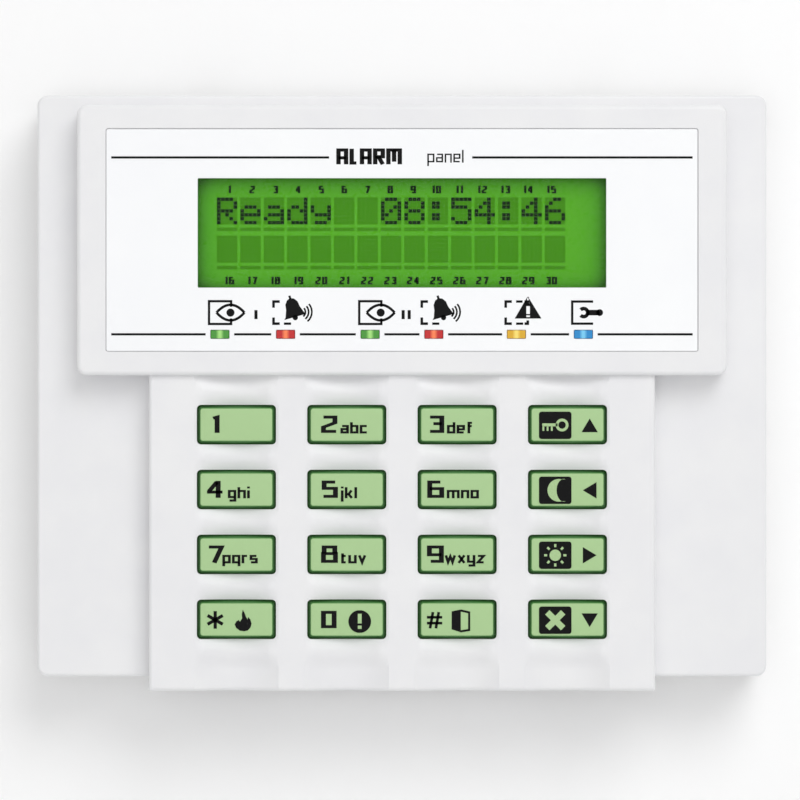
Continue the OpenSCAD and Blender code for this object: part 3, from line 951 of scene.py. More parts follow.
@dataclass(frozen=True)
class Place:
    """Where a CAD node lies, in millimetres on the panel."""

    x: float
    z: float
    width: float
    height: float
    back: float
    front: float

    @classmethod
    def of(cls, node: str) -> "Place":
        """Reads a node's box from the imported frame."""
        low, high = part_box(node)
        return cls((low.x + high.x) / 2 / MM, (low.z + high.z) / 2 / MM, (high.x - low.x) / MM,
                   (high.z - low.z) / MM, -high.y / MM, -low.y / MM)


# ---- Finishes of this panel ----

HOUSING = MouldedPolymer("white_abs_spark_eroded", "#ECECED", "#E9E9EB", 0.38)
BASE = MouldedPolymer("white_abs_rear_moulding", "#E9E9E7", "#E6E6E4", 0.5, 0.5, 0.008)
FASCIA = BackPrintedAcrylic("white_back_printed_acrylic", "#F8F9FA", "#F5F6F8")
WINDOW = ClearWindow("clear_cast_acrylic", "#0A120A")
INK = PrintedInk("black_screen_ink", "#0D0D0E", "#0A0A0B")
LCD_INK = PrintedInk("dark_display_segments", "#0B2A06", "#092405", 0.4)
LCD_IDLE = PrintedInk("idle_display_segments", "#479708", "#459406", 0.4)
PALE_INK = PrintedInk("pale_green_key_print", "#AFCD98", "#A9C791", 0.5)
HEADER = MouldedPolymer("black_moulded_nylon", "#1B1B1C", "#161617", 0.45, 0.3, 0.006)
EPOXY = MouldedPolymer("black_moulded_epoxy", "#202022", "#19191B", 0.55, 0.2, 0.006)
TERMINAL = MouldedPolymer("green_moulded_nylon", "#1E7A3C", "#1A6F35", 0.4, 0.3, 0.006)
SLEEVE = MouldedPolymer("blue_shrunk_sleeve", "#1B2A55", "#16244B", 0.28, 0.8, 0.004)
CERAMIC = MouldedPolymer("tan_fired_ceramic", "#A98A5E", "#9A7C52", 0.45, 0.15, 0.003)
IVORY = MouldedPolymer("white_moulded_polyamide", "#E9E5D6", "#DFDACA", 0.4, 0.3, 0.005)
LIGHT_GUIDE = MouldedPolymer("frosted_light_guide_acrylic", "#BFE6A0", "#B5DE95", 0.35, 0.5, 0.006)
STRIP = MouldedPolymer("layered_conductive_silicone", "#C48F8A", "#8A5A57", 0.6, 0.2, 0.01)
BOARD = CircuitBoardMask("green_solder_mask", "#0E4A22", "#1C6A35")
ZINC = PlatedMetal("bright_zinc_plated_steel", "#C9CBCE", "#B4B7BB", 0.28)
TIN = PlatedMetal("tinned_copper", "#D2D3D4", "#BFC0C2", 0.34, 0.1)
GOLD = PlatedMetal("gold_flashed_copper", "#E3BE6A", "#CFA955", 0.3, 0.1)
FRAME_STEEL = PlatedMetal("blackened_pressed_steel", "#34363A", "#292B2E", 0.45, 0.2)


@dataclass
class Housing:
    """The white front: side wings, raised display bezel and keypad block, moulded in one."""

    shell: Place = field(default_factory=lambda: Place.of("front_shell"))
    fascia: Place = field(default_factory=lambda: Place.of("fascia_panel"))
    window: Place = field(default_factory=lambda: Place.of("lcd_window"))
    wall: float = 2.0
    wing_depth: float = 16.0
    body_height: float = 90.0
    corner: float = 1.6
    bezel: Outline = Outline(100.0, 41.6, 1.5, 0.0, 22.4)
    bezel_edge: float = 0.7
    block_width: float = 78.0
    block_step: float = 1.2
    block_edge: float = 0.6
    channel_width: float = 13.0
    channel_depth: float = 1.4
    ridge_rise: float = 0.55
    ridge_reach: float = 2.6
    hook_x: float = 30.0
    catch_x: float = 26.0
    key_gap: float = 0.15
    row_pitch: float = 10.0
    columns: list[float] = field(default_factory=lambda: sorted({round(Place.of(name).x, 3) for name in Keypad.NAMES}))
    rows: list[float] = field(default_factory=lambda: sorted({round(Place.of(name).z, 3) for name in Keypad.NAMES}))

    def block_depth_at(self, x: float, z: float) -> float:
        """Gives the depth of the keypad block's face: ribs, channels between them, and ridges across each channel.

        Args:
            x: The place across the panel.
            z: The place up the panel.

        Returns:
            The depth in millimetres.
        """
        depth = self.shell.front - self.block_step
        for column in self.columns:
            across = (x - column) / (self.channel_width / 2)
            if abs(across) < 1:
                bowl = 1 - across * across
                depth -= self.channel_depth * bowl
                for middle in [self.rows[0] - self.row_pitch / 2, *[row + self.row_pitch / 2 for row in self.rows]]:
                    along = (z - middle) / self.ridge_reach
                    if abs(along) < 1:
                        depth += self.ridge_rise * min(1.0, 2.5 * bowl) * (0.5 + 0.5 * math.cos(math.pi * along))
        edge = min(self.block_width / 2 - abs(x), z - self.bottom())
        if edge < self.block_edge:
            depth -= self.block_edge - math.sqrt(max(0.0, self.block_edge ** 2 - (self.block_edge - edge) ** 2))
        return depth

    def bottom(self) -> float:
        """Gives the height of the keypad block's lower edge."""
        return self.shell.z - self.shell.height / 2

    def grid_lines(self) -> tuple[list[float], list[float]]:
        """Gives the places of the keypad block's grid lines, across and up."""
        rounds = [self.block_edge * (1 - math.cos(math.radians(15 * i))) for i in range(7)]
        half, top = self.block_width / 2, self.bezel.z - self.bezel.height / 2 + 1.0
        xs = {round(side * (half - r), 4) for side in (-1, 1) for r in rounds}
        for column in self.columns:
            xs |= {round(column + self.channel_width * (i / 28 - 0.5), 4) for i in range(29)}
        low = self.bottom() + self.block_edge
        count = int((top - low) / 0.4)
        zs = {round(self.bottom() + r, 4) for r in rounds}
        zs |= {round(low + (top - low) * i / count, 4) for i in range(count + 1)}
        return sorted(xs), sorted(zs)

    def build(self) -> None:
        """Makes the front shell and hands it to the front body."""
        face, back = self.shell.front, self.shell.back
        outer = Outline(self.shell.width, self.body_height, self.corner)
        wings = Skin()
        wings.loft([(outer, back), *edge_round(outer, self.wing_depth, 0.5, 6)])
        piece = wings.build("housing_front")
        bezel = Skin()
        bezel.loft([(self.bezel, self.wing_depth - 1), *edge_round(self.bezel, face, self.bezel_edge, 6)], steps=8)
        cut(piece, bezel, Cut.ADD)
        block = Skin()
        block.sheet(*self.grid_lines(), self.block_depth_at, back)
        cut(piece, block, Cut.ADD)
        self.hollow(piece)
        self.open_windows(piece)
        finish_piece(piece, Body.FRONT.value, HOUSING, ["front_shell"], crease_degrees=17)

    def hollow(self, piece: bpy.types.Object) -> None:
        """Takes out the room inside the shell, then adds its screw bosses, posts and hinge pins.

        Args:
            piece: The front shell.
        """
        face, back, wall = self.shell.front, self.shell.back, self.wall
        floor = self.fascia.back - 1.4
        low = self.bezel.z - self.bezel.height / 2
        block_floor = face - self.block_step - self.channel_depth - 1.6
        rooms = [((-self.shell.width / 2 + wall, back - 1, -self.body_height / 2 + wall),
                  (self.shell.width / 2 - wall, self.wing_depth - wall, self.body_height / 2 - wall)),
                 ((-self.bezel.width / 2 + wall, back - 1, low + wall),
                  (self.bezel.width / 2 - wall, floor, low + self.bezel.height - wall)),
                 ((-self.block_width / 2 + wall, back - 1, self.bottom() + wall),
                  (self.block_width / 2 - wall, block_floor, low + 3.0))]
        for near, far in rooms:
            room = Skin()
            room.block(near, far)
            cut(piece, room, Cut.REMOVE)
        hinge_depth, hinge_z = 4.4, self.body_height / 2 - 3
        inside = Skin()
        for side in (-1, 1):
            inside.cross_rod(0.8, 9.0, (side * self.hook_x, hinge_depth, hinge_z))
            for cheek in (-1, 1):
                middle = side * self.hook_x + cheek * 3.9
                inside.block((middle - 0.6, 3.2, hinge_z - 1.2), (middle + 0.6, 6.4, self.body_height / 2 - wall + 0.3))
        cut(piece, inside, Cut.ADD)
        bosses = Skin()
        for x, z in ((-44, 38), (44, 38), (-44, 6.5), (44, 6.5), (-35, -39.9), (35, -39.9)):
            bosses.prism(Outline(4.6, 4.6, 2.29, x, z).points(6), 12.2, (floor if z > 0 else block_floor) + 0.3)
        cut(piece, bosses, Cut.ADD)

    def open_windows(self, piece: bpy.types.Object) -> None:
        """Cuts the fascia's recess, the display opening, the indicator slots, the key holes and the notches.

        Args:
            piece: The front shell.
        """
        face = self.shell.front
        recess = Skin()
        seat = Outline(self.fascia.width + 0.08, self.fascia.height + 0.08, 0.35, 0, self.fascia.z)
        mouth = Outline(self.fascia.width + 0.3, self.fascia.height + 0.3, 0.46, 0, self.fascia.z)
        recess.loft([(seat, self.fascia.back), (seat, face - 0.12), (mouth, face + 0.01), (mouth, face + 1)])
        cut(piece, recess, Cut.REMOVE)
        holes = Skin()
        window = Outline(self.window.width + 0.2, self.window.height + 0.2, 0.3, 0, self.window.z)
        holes.loft([(window, self.fascia.back - 3), (window, self.fascia.back + 1)])
        for x in Indicators.places():
            slot = Outline(3.1, 1.55, 0.2, x, Place.of("indicator_green").z)
            holes.loft([(slot, self.fascia.back - 3), (slot, self.fascia.back + 1)], steps=3)
        for name in Keypad.NAMES:
            key = Place.of(name)
            rim = Outline(11.9 + 2 * self.key_gap, 5.8 + 2 * self.key_gap, 0.65, key.x, key.z)
            holes.loft([(rim, 13.0), (rim, face + 1)], steps=5)
        top = self.body_height / 2
        for side in (-1, 1):
            hook, slot = side * self.hook_x, side * self.catch_x
            holes.block((hook - 3.1, 1.0, top - 3), (hook + 3.1, 5.2, top + 1))
            holes.block((slot - 4.5, 2.9, self.bottom() - 1), (slot + 4.5, 4.6, 3 - top))
        cut(piece, holes, Cut.REMOVE)


@dataclass
class Fascia:
    """The glossy printed panel round the display, with its lines, words and symbols."""

    plate: Place = field(default_factory=lambda: Place.of("fascia_panel"))
    line: float = 0.34
    top_line_drop: float = 4.4
    lamp_line: float = 7.9
    symbol_z: float = 11.24

    def build(self) -> None:
        """Makes the plate and its print."""
        finish_piece(softened("fascia_panel", "fascia_plate", 0.12), Body.FRONT.value, FASCIA,
                     ["fascia_panel"])
        face = self.plate.front
        lines = Drawing(face)
        top, left, right = self.plate.z + self.plate.height / 2 - self.top_line_drop, -44.7, 44.7
        lines.box(left, top - self.line / 2, -11.2, top + self.line / 2)
        lines.box(10.8, top - self.line / 2, right, top + self.line / 2)
        at = left
        for x in Indicators.places():
            lines.box(at, self.lamp_line - self.line / 2, x - 2.2, self.lamp_line + self.line / 2)
            at = x + 2.2
        lines.box(at, self.lamp_line - self.line / 2, right, self.lamp_line + self.line / 2)
        lines.build("fascia_lines", Body.FRONT.value, INK, "print_ink")
        words = Drawing(face)
        words.letters("ALARM", -10.1, top - 1.1, Lettering(1.17, 2.0, 0.68, 0.86, 0.72))
        words.letters("panel", 3.9, top - 0.75, Lettering(0.95, 1.12, 0.24, 0.48, 0.9))
        words.build("fascia_words", Body.FRONT.value, INK, "print_ink")
        symbols = Drawing(face)
        green, red = Indicators.GREEN, Indicators.RED
        for lamp, bars in zip(green, (1, 2)):
            self.watched_door(symbols, lamp + 0.03)
            for i in range(bars):
                bar = lamp + 5.55 + 0.93 * (i - (bars - 1) / 2)
                symbols.box(bar - 0.24, self.symbol_z - 1.0, bar + 0.24, self.symbol_z + 0.38)
        for lamp in red:
            self.ringing_bell(symbols, lamp)
        self.trouble(symbols, Indicators.YELLOW[0])
        self.spanner(symbols, Indicators.BLUE[0])
        symbols.build("fascia_symbols", Body.FRONT.value, INK, "print_ink")

    def watched_door(self, drawing: Drawing, x: float) -> None:
        """Draws an eye over an open square.

        Args:
            drawing: The drawing that takes the symbol.
            x: The square's middle across the panel.
        """
        z = self.symbol_z
        drawing.stroke([(x + 1.7, z - 0.9), (x + 1.7, z - 1.75), (x - 1.7, z - 1.75), (x - 1.7, z + 1.75),
                        (x + 1.7, z + 1.75), (x + 1.7, z + 0.9)], 0.36)
        for way in (-1, 1):
            points = [(x + 1.6 + 2.15 * u, z + way * 1.2 * (1 - u * u)) for u in [i / 7 - 1 for i in range(15)]]
            drawing.stroke(points, 0.4)
        drawing.disc(x + 1.6, z, 0.62)

    def dashed_square(self, drawing: Drawing, x: float, closed: bool) -> None:
        """Draws a square of dashes, open at its right unless closed.

        Args:
            drawing: The drawing that takes the symbol.
            x: The square's middle across the panel.
            closed: True draws its right side as well.
        """
        z, half = self.symbol_z, 1.7
        drawing.stroke([(x - half, z + 0.75), (x - half, z + half), (x - half + 0.95, z + half)], 0.4)
        drawing.stroke([(x - half, z - 0.75), (x - half, z - half), (x - half + 0.95, z - half)], 0.4)
        drawing.box(x - 0.1, z - half - 0.18, x + 1.0, z - half + 0.18)
        if closed:
            drawing.box(x - 0.1, z + half - 0.18, x + 0.9, z + half + 0.18)
            drawing.stroke([(x + half - 0.5, z + half), (x + half, z + half), (x + half, z + half - 0.5)], 0.4)
            drawing.stroke([(x + half - 0.5, z - half), (x + half, z - half), (x + half, z - half + 0.5)], 0.4)

    def ringing_bell(self, drawing: Drawing, x: float) -> None:
        """Draws a leaning bell with sound waves over a dashed square.

        Args:
            drawing: The drawing that takes the symbol.
            x: The lamp's place across the panel.
        """
        z = self.symbol_z
        self.dashed_square(drawing, x - 0.15, False)
        lean = math.radians(16)
        outline = [(-1.55, -1.0), (-1.3, -0.75), (-0.95, 0.2), (-0.85, 0.9), (-0.5, 1.4), (-0.15, 1.55), (-0.15, 1.95),
                   (0.15, 1.95), (0.15, 1.55), (0.5, 1.4), (0.85, 0.9), (0.95, 0.2), (1.3, -0.75), (1.55, -1.0)]
        drawing.fill(turned(outline, lean, x + 1.2, z + 0.45, 1.15))
        drawing.disc(x + 1.5, z - 0.78, 0.4)
        for radius in (0.9, 1.4, 1.9):
            drawing.arc(x + 2.15, z + 0.1, radius, -50, 40, 0.27)

    def trouble(self, drawing: Drawing, x: float) -> None:
        """Draws a warning triangle over a dashed square.

        Args:
            drawing: The drawing that takes the symbol.
            x: The lamp's place across the panel.
        """
        z = self.symbol_z
        self.dashed_square(drawing, x + 0.05, True)
        middle, foot, head = x + 1.8, z - 0.91, z + 2.42
        for way in (-1, 1):
            drawing.fill([(middle + way * 2.05, foot), (middle + way * 0.28, foot), (middle + way * 0.28, z + 1.0),
                          (middle + way * 0.12, head), (middle, head)])
        drawing.box(middle - 0.3, foot, middle + 0.3, foot + 0.22)
        drawing.box(middle - 0.3, z - 0.42, middle + 0.3, z - 0.22)
        drawing.box(middle - 0.3, z + 1.0, middle + 0.3, z + 1.4)

    def spanner(self, drawing: Drawing, x: float) -> None:
        """Draws a spanner over an open square.

        Args:
            drawing: The drawing that takes the symbol.
            x: The lamp's place across the panel.
        """
        z = self.symbol_z
        drawing.stroke([(x + 1.5, z + 1.7), (x - 1.72, z + 1.7), (x - 1.72, z - 1.7), (x + 1.5, z - 1.7)], 0.36)
        drawing.arc(x + 0.05, z, 0.62, -138, 138, 0.56)
        drawing.box(x + 0.5, z - 0.42, x + 2.5, z + 0.42)
        drawing.disc(x + 2.5, z, 0.52)


class Indicators:
    """The six coloured light bars under the display."""

    GREEN = (-28.0, -4.9)
    RED = (-17.9, 4.9)
    YELLOW = (17.6,)
    BLUE = (27.9,)

    @staticmethod
    def places() -> list[float]:
        """Gives the middle of each bar, from the left."""
        return sorted(Indicators.GREEN + Indicators.RED + Indicators.YELLOW + Indicators.BLUE)

    @staticmethod
    def build() -> None:
        """Makes each colour's bars, with soft moulded edges."""
        for colour, middles, bright, deep in (("green", Indicators.GREEN, "#9AD474", "#3C8C28"),
                                              ("red", Indicators.RED, "#F07A48", "#B80C10"),
                                              ("yellow", Indicators.YELLOW, "#EED468", "#D2A21A"),
                                              ("blue", Indicators.BLUE, "#6CC0E6", "#0D80C0")):
            node = f"indicator_{colour}"
            finish = LitLens(f"tinted_polycarbonate_{colour}", bright, deep, middles, 2.8, 0.12)
            finish_piece(softened(node, f"light_bar_{colour}", 0.1), Body.FRONT.value, finish, [node])


@dataclass
class Display:
    """The liquid crystal module: lit glass, its two lines of characters and the numbers over and under them."""

    glass: Place = field(default_factory=lambda: Place.of("lcd_glass"))
    window: Place = field(default_factory=lambda: Place.of("lcd_window"))
    pitch: float = 3.617
    first_cell: float = -28.6
    number_pitch: float = 3.55
    first_number: float = -26.65
    line_pitch: float = 5.9
    cell_top: float = 5.59
    underline_gap: float = 0.45
    dot: Point2 = (0.6, 0.56)
    dot_pitch: Point2 = (0.64, 0.6)
    text: str = "Ready  08:54:46"
    glyphs: dict[str, str] = field(default_factory=lambda: {
        "R": "1E11111E141211", "e": "00000E111F100E", "a": "00000E010F110F", "d": "01010D1311110F",
        "y": "000011110F010E", "0": "0E11131519110E", "8": "0E11110E11110E", ":": "000C0C000C0C00",
        "5": "1F101E0101110E", "4": "02060A121F0202", "6": "0608101E11110E", " ": "00000000000000"})

    def build(self) -> None:
        """Makes the glass, the window, the dots and the legend."""
        # The last two greens are painted recess shade towards the window's edges.
        glass = LitDisplayGlass("backlit_liquid_crystal_glass", (0.0, 0.0, self.window.z), (63.4, 17.4),
                                "#489711", "#3F8C0E", "#245C09")
        finish_piece(softened("lcd_glass", "display_glass", 0.15), Body.FRONT.value, glass, ["lcd_glass"])
        finish_piece(softened("lcd_window", "display_window", 0.1), Body.FRONT.value, WINDOW,
                     ["lcd_window"])
        finish_piece(softened("lcd_frame", "display_frame", 0.12), Body.FRONT.value, FRAME_STEEL,
                     ["lcd_frame"])
        lit, idle = self.dots()
        self.place_dots("display_characters", lit, LCD_INK)
        self.place_dots("display_idle_dots", idle, LCD_IDLE)
        legend, numbers = Drawing(self.glass.front, 0.03), Lettering(0.58, 0.92, 0.36, 0.5, 0.72)
        for i in range(15):
            x = self.first_number + self.number_pitch * i
            legend.letters(str(i + 1), x, self.window.z + 6.2, numbers, centred=True)
            legend.letters(str(i + 16), x, self.window.z - 7.85, numbers, centred=True)
        legend.build("display_numbers", Body.FRONT.value, LCD_INK, "print_ink")

    def dots(self) -> tuple[list[Point2], list[Point2]]:
        """Gives the middles of the dark and of the idle dots."""
        lit, idle = [], []
        for line, text in enumerate((self.text, "")):
            for cell in range(15):
                rows = self.glyphs[text[cell]] if cell < len(text) else self.glyphs[" "]
                for row in range(8):
                    bits = int(rows[2 * row : 2 * row + 2], 16) if row < 7 else 0
                    for column in range(5):
                        spot = (self.first_cell + cell * self.pitch + (column + 0.5) * self.dot_pitch[0],
                                self.window.z + self.cell_top - line * self.line_pitch
                                - (row + 0.5) * self.dot_pitch[1] - (self.underline_gap if row == 7 else 0.0))
                        (lit if bits >> (4 - column) & 1 else idle).append(spot)
        return lit, idle

    def place_dots(self, name: str, spots: Sequence[Point2], finish: Finish) -> None:
        """Puts one dot at each spot on the glass, by a node tree.

        Args:
            name: The piece's name.
            spots: The dots' middles.
            finish: The dots' material.
        """
        tree = bpy.data.node_groups.new(name + "_tree", "GeometryNodeTree")
        tree.interface.new_socket("Spots", in_out="INPUT", socket_type="NodeSocketGeometry")
        wide = tree.interface.new_socket("Dot width", in_out="INPUT", socket_type="NodeSocketFloat")
        tall = tree.interface.new_socket("Dot height", in_out="INPUT", socket_type="NodeSocketFloat")
        rise = tree.interface.new_socket("Dot thickness", in_out="INPUT", socket_type="NodeSocketFloat")
        tree.interface.new_socket("Dots", in_out="OUTPUT", socket_type="NodeSocketGeometry")
        given = tree.nodes.new("NodeGroupInput")
        size = add(tree, "ShaderNodeCombineXYZ", {"X": given.outputs["Dot width"], "Y": given.outputs["Dot thickness"],
                                                  "Z": given.outputs["Dot height"]})
        shape = add(tree, "GeometryNodeMeshCube", {"Size": size.outputs[0]})
        spread = add(tree, "GeometryNodeInstanceOnPoints", {"Points": given.outputs["Spots"],
                                                            "Instance": shape.outputs["Mesh"]})
        real = add(tree, "GeometryNodeRealizeInstances", {"Geometry": spread.outputs["Instances"]})
        dressed = add(tree, "GeometryNodeSetMaterial", {"Geometry": real.outputs[0], "Material": finish.material()})
        add(tree, "NodeGroupOutput", {0: dressed.outputs[0]})
        mesh = bpy.data.meshes.new(name)
        mesh.from_pydata([(x * MM, -self.glass.front * MM, z * MM) for x, z in spots], [], [])
        piece = bpy.data.objects.new(name, mesh)
        bpy.context.scene.collection.objects.link(piece)
        modifier = piece.modifiers.new("dots", "NODES")
        modifier.node_group = tree
        modifier[wide.identifier], modifier[tall.identifier] = self.dot[0] * MM, self.dot[1] * MM
        modifier[rise.identifier] = 0.05 * MM
        finish_piece(settle(piece), Body.FRONT.value, None, crease_degrees=20)


@dataclass(frozen=True)
class Legend:
    """What is printed on a number key: its figure, its letters, and where each starts from the key's middle."""

    figure: str
    letters: str
    figure_x: float
    letters_x: float


@dataclass
class Keypad:
    """The sixteen lit rubber keys with their print."""

    NAMES = ("key_1", "key_2", "key_3", "key_up", "key_4", "key_5", "key_6", "key_left",
             "key_7", "key_8", "key_9", "key_right", "key_star", "key_0", "key_hash", "key_down")
    LEGENDS = {
        "key_1": Legend("1", "", -3.95, 0.0), "key_2": Legend("2", "abc", -3.96, -0.97),
        "key_3": Legend("3", "def", -4.55, -1.57), "key_4": Legend("4", "ghi", -4.65, -1.3),
        "key_5": Legend("5", "jkl", -3.96, -1.1), "key_6": Legend("6", "mno", -4.6, -1.6),
        "key_7": Legend("7", "pqrs", -4.6, -2.15), "key_8": Legend("8", "tuv", -3.96, -1.05),
        "key_9": Legend("9", "wxyz", -4.65, -1.95)}
    FIGURES = Lettering(2.05, 2.2, 0.76, 0.9, 0.6)
    SMALL = Lettering(0.98, 0.98, 0.42, 0.6, 0.78)
    foot: Outline = Outline(11.9, 5.8, 0.5)
    face: Outline = Outline(11.1, 5.0, 0.4)
    crown: float = 0.1

    def build(self) -> None:
        """Makes every key and its print."""
        for name in self.NAMES:
            key = Place.of(name)
            self.cap(name, key)
            self.print_on(name, key)

    def cap(self, name: str, key: Place) -> None:
        """Makes one key: contact pill, flange, drafted sides and a slightly crowned face.

        Args:
            name: The key's CAD node and body.
            key: Where it is.
        """
        top, pill_back = key.front, key.back
        foot_back, flange_back, flange_front = pill_back + 1.1, top - 4.5, top - 3.5
        pill, flange = Outline(4.4, 4.4, 2.19), Outline(13.3, 7.2, 1.0)
        stack = [(pill.inset(0.3), pill_back), (pill, pill_back + 0.25), (pill, foot_back), (self.foot, foot_back),
                 (self.foot, flange_back), (flange, flange_back), (flange, flange_front - 0.2),
                 (flange.inset(0.2), flange_front), (self.foot, flange_front), (self.foot, top - 2.0)]
        stack += edge_round(self.face, top - self.crown, 0.16, 4)
        stack += [(self.face.inset(0.16 + 2.2 * s), top - self.crown * (1 - s) ** 2) for s in (0.25, 0.5, 0.75, 1.0)]
        moved = [(Outline(o.width, o.height, o.radius, key.x, key.z), depth) for o, depth in stack]
        skin = Skin()
        skin.loft(moved, steps=5)
        # Pale face, then painted slot shade: mid green down the sides and deep green at the root.
        finish = BacklitSilicone("translucent_green_silicone", "#A0BF8A", "#4A8C3C", "#2A6A20", top)
        finish_piece(skin.build(f"{name}_cap"), name, finish, [name], crease_degrees=40)

    def print_on(self, name: str, key: Place) -> None:
        """Prints one key's figure, letters or symbols.

        Args:
            name: The key's CAD node and body.
            key: Where it is.
        """
        ink = Drawing(key.front, 0.02, 0.12)
        x, z = key.x, key.z
        if name in self.LEGENDS:
            legend = self.LEGENDS[name]
            ink.letters(legend.figure, x + legend.figure_x, z - 1.26, self.FIGURES)
            if legend.letters:
                ink.letters(legend.letters, x + legend.letters_x, z - 1.35, self.SMALL)
        elif name == "key_star":
            for i in range(3):
                angle = math.radians(90 + 60 * i)
                dx, dz = 1.35 * math.cos(angle), 1.35 * math.sin(angle)
                ink.stroke([(x - 3.25, z - 0.05), (x - 3.25 + dx, z - 0.05 + dz)], 0.5)
                ink.stroke([(x - 3.25, z - 0.05), (x - 3.25 - dx, z - 0.05 - dz)], 0.5)
            self.flame(ink, x + 1.05, z - 0.15)
        elif name == "key_0":
            ink.letters("0", x - 3.96, z - 1.32, self.FIGURES)
            self.alert(ink, x + 2.0, z - 0.3)
        elif name == "key_hash":
            for offset in (-0.45, 0.45):
                ink.stroke([(x - 3.5 + offset - 0.22, z - 1.35), (x - 3.5 + offset + 0.22, z + 1.15)], 0.42)
                ink.box(x - 4.65, z - 0.1 + offset - 0.2, x - 2.3, z - 0.1 + offset + 0.2)
            self.door(ink, x + 0.6, z - 0.2)
        else:
            self.arrow(ink, name, x + 3.4, z - 0.1)
            self.plaque(ink, x - 1.9, z - 0.1)
            pale = Drawing(key.front + 0.02, 0.02, 0.03)
            {"key_up": self.latch_key, "key_left": self.moon, "key_right": self.sun, "key_down": self.cross}[name](
                pale, x - 1.9, z - 0.1)
            pale.build(f"{name}_symbol", name, PALE_INK, "key_silicone")
        ink.build(f"{name}_print", name, INK, "print_ink")

    def plaque(self, ink: Drawing, x: float, z: float) -> None:
        """Fills the dark square behind a pale symbol."""
        ink.fill(Outline(5.0, 4.2, 0.4, x, z).points(4))

    def arrow(self, ink: Drawing, name: str, x: float, z: float) -> None:
        """Fills the arrow that a key is named for."""
        turn = {"key_up": 0, "key_left": 90, "key_down": 180, "key_right": 270}[name]
        ink.fill(turned([(0.0, 1.05), (-1.25, -1.05), (1.25, -1.05)], math.radians(turn), x, z))

    def flame(self, ink: Drawing, x: float, z: float) -> None:
        """Fills a flame.

        Args:
            ink: The drawing that takes the symbol.
            x: The symbol's middle across the panel.
            z: The symbol's middle up the panel.
        """
        outline = [(0.15, -1.65), (0.75, -1.5), (1.15, -1.05), (1.3, -0.45), (1.1, 0.2), (0.75, 0.55), (0.7, 0.15),
                   (0.45, 0.55), (0.25, 1.1), (-0.05, 1.65), (-0.2, 1.0), (-0.15, 0.35), (-0.5, -0.2), (-0.65, 0.1),
                   (-1.05, -0.15), (-1.3, -0.6), (-1.05, -1.15), (-0.5, -1.55)]
        ink.fill([(x + u, z + v) for u, v in outline])

    def alert(self, ink: Drawing, x: float, z: float) -> None:
        """Fills a disc round an exclamation mark, which is left open.

        Args:
            ink: The drawing that takes the symbol.
            x: The symbol's middle across the panel.
            z: The symbol's middle up the panel.
        """
        radius, slit = 1.75, 0.3
        for way in (-1, 1):
            start = math.asin(slit / radius)
            arc = [start + (math.pi - 2 * start) * i / 16 for i in range(17)]
            ink.fill([(x + way * radius * math.sin(a), z + radius * math.cos(a)) for a in arc])
        for low, high in ((-1.72, -1.15), (-0.62, -0.3), (1.2, 1.72)):
            ink.box(x - slit - 0.02, z + low, x + slit + 0.02, z + high)

    def door(self, ink: Drawing, x: float, z: float) -> None:
        """Draws a door that stands half open."""
        ink.fill([(x - 1.45, z - 1.3), (x - 0.05, z - 1.75), (x - 0.05, z + 1.75), (x - 1.45, z + 1.45)])
        ink.stroke([(x - 0.05, z + 1.6), (x + 1.25, z + 1.3), (x + 1.25, z - 1.4), (x - 0.05, z - 1.62)], 0.32)

    def latch_key(self, pale: Drawing, x: float, z: float) -> None:
        """Draws a key.

        Args:
            pale: The drawing that takes the symbol.
            x: The symbol's middle across the panel.
            z: The symbol's middle up the panel.
        """
        pale.arc(x + 1.05, z + 0.05, 0.78, 0, 360, 0.42)
        pale.box(x - 2.0, z - 0.15, x + 0.35, z + 0.3)
        for tooth in (-1.85, -1.2, -0.55):
            pale.box(x + tooth - 0.12, z - 0.85, x + tooth + 0.16, z - 0.1)

    def moon(self, pale: Drawing, x: float, z: float) -> None:
        """Fills a crescent moon.

        Args:
            pale: The drawing that takes the symbol.
            x: The symbol's middle across the panel.
            z: The symbol's middle up the panel.
        """
        steps = 16
        angles = [math.radians(74 + 212 * i / steps) for i in range(steps + 1)]
        outer = [(x + 0.55 + 1.75 * math.cos(a), z + 1.75 * math.sin(a)) for a in angles]
        inner = [(x + 1.3 + 1.72 * math.cos(a) * (0.62 + 0.02 * i * (steps - i) / 64), z + 1.75 * math.sin(a))
                 for i, a in enumerate(angles)]
        for i in range(steps):
            pale.fill([outer[i], outer[i + 1], inner[i + 1], inner[i]])

    def sun(self, pale: Drawing, x: float, z: float) -> None:
        """Draws a sun with eight rays.

        Args:
            pale: The drawing that takes the symbol.
            x: The symbol's middle across the panel.
            z: The symbol's middle up the panel.
        """
        pale.disc(x, z, 0.88)
        for i in range(8):
            angle = math.radians(45 * i)
            dx, dz = math.cos(angle), math.sin(angle)
            pale.stroke([(x + 1.25 * dx, z + 1.25 * dz), (x + 1.72 * dx, z + 1.72 * dz)], 0.34)

    def cross(self, pale: Drawing, x: float, z: float) -> None:
        """Draws a cross.

        Args:
            pale: The drawing that takes the symbol.
            x: The symbol's middle across the panel.
            z: The symbol's middle up the panel.
        """
        arm, half = 1.05, 0.8
        corners = [(0.0, half), (arm, arm + half), (arm + half, arm)]
        outline: list[Point2] = []
        for quarter in range(4):
            outline += turned(corners, math.radians(-90 * quarter), x, z, 0.84)
        pale.fill(outline)


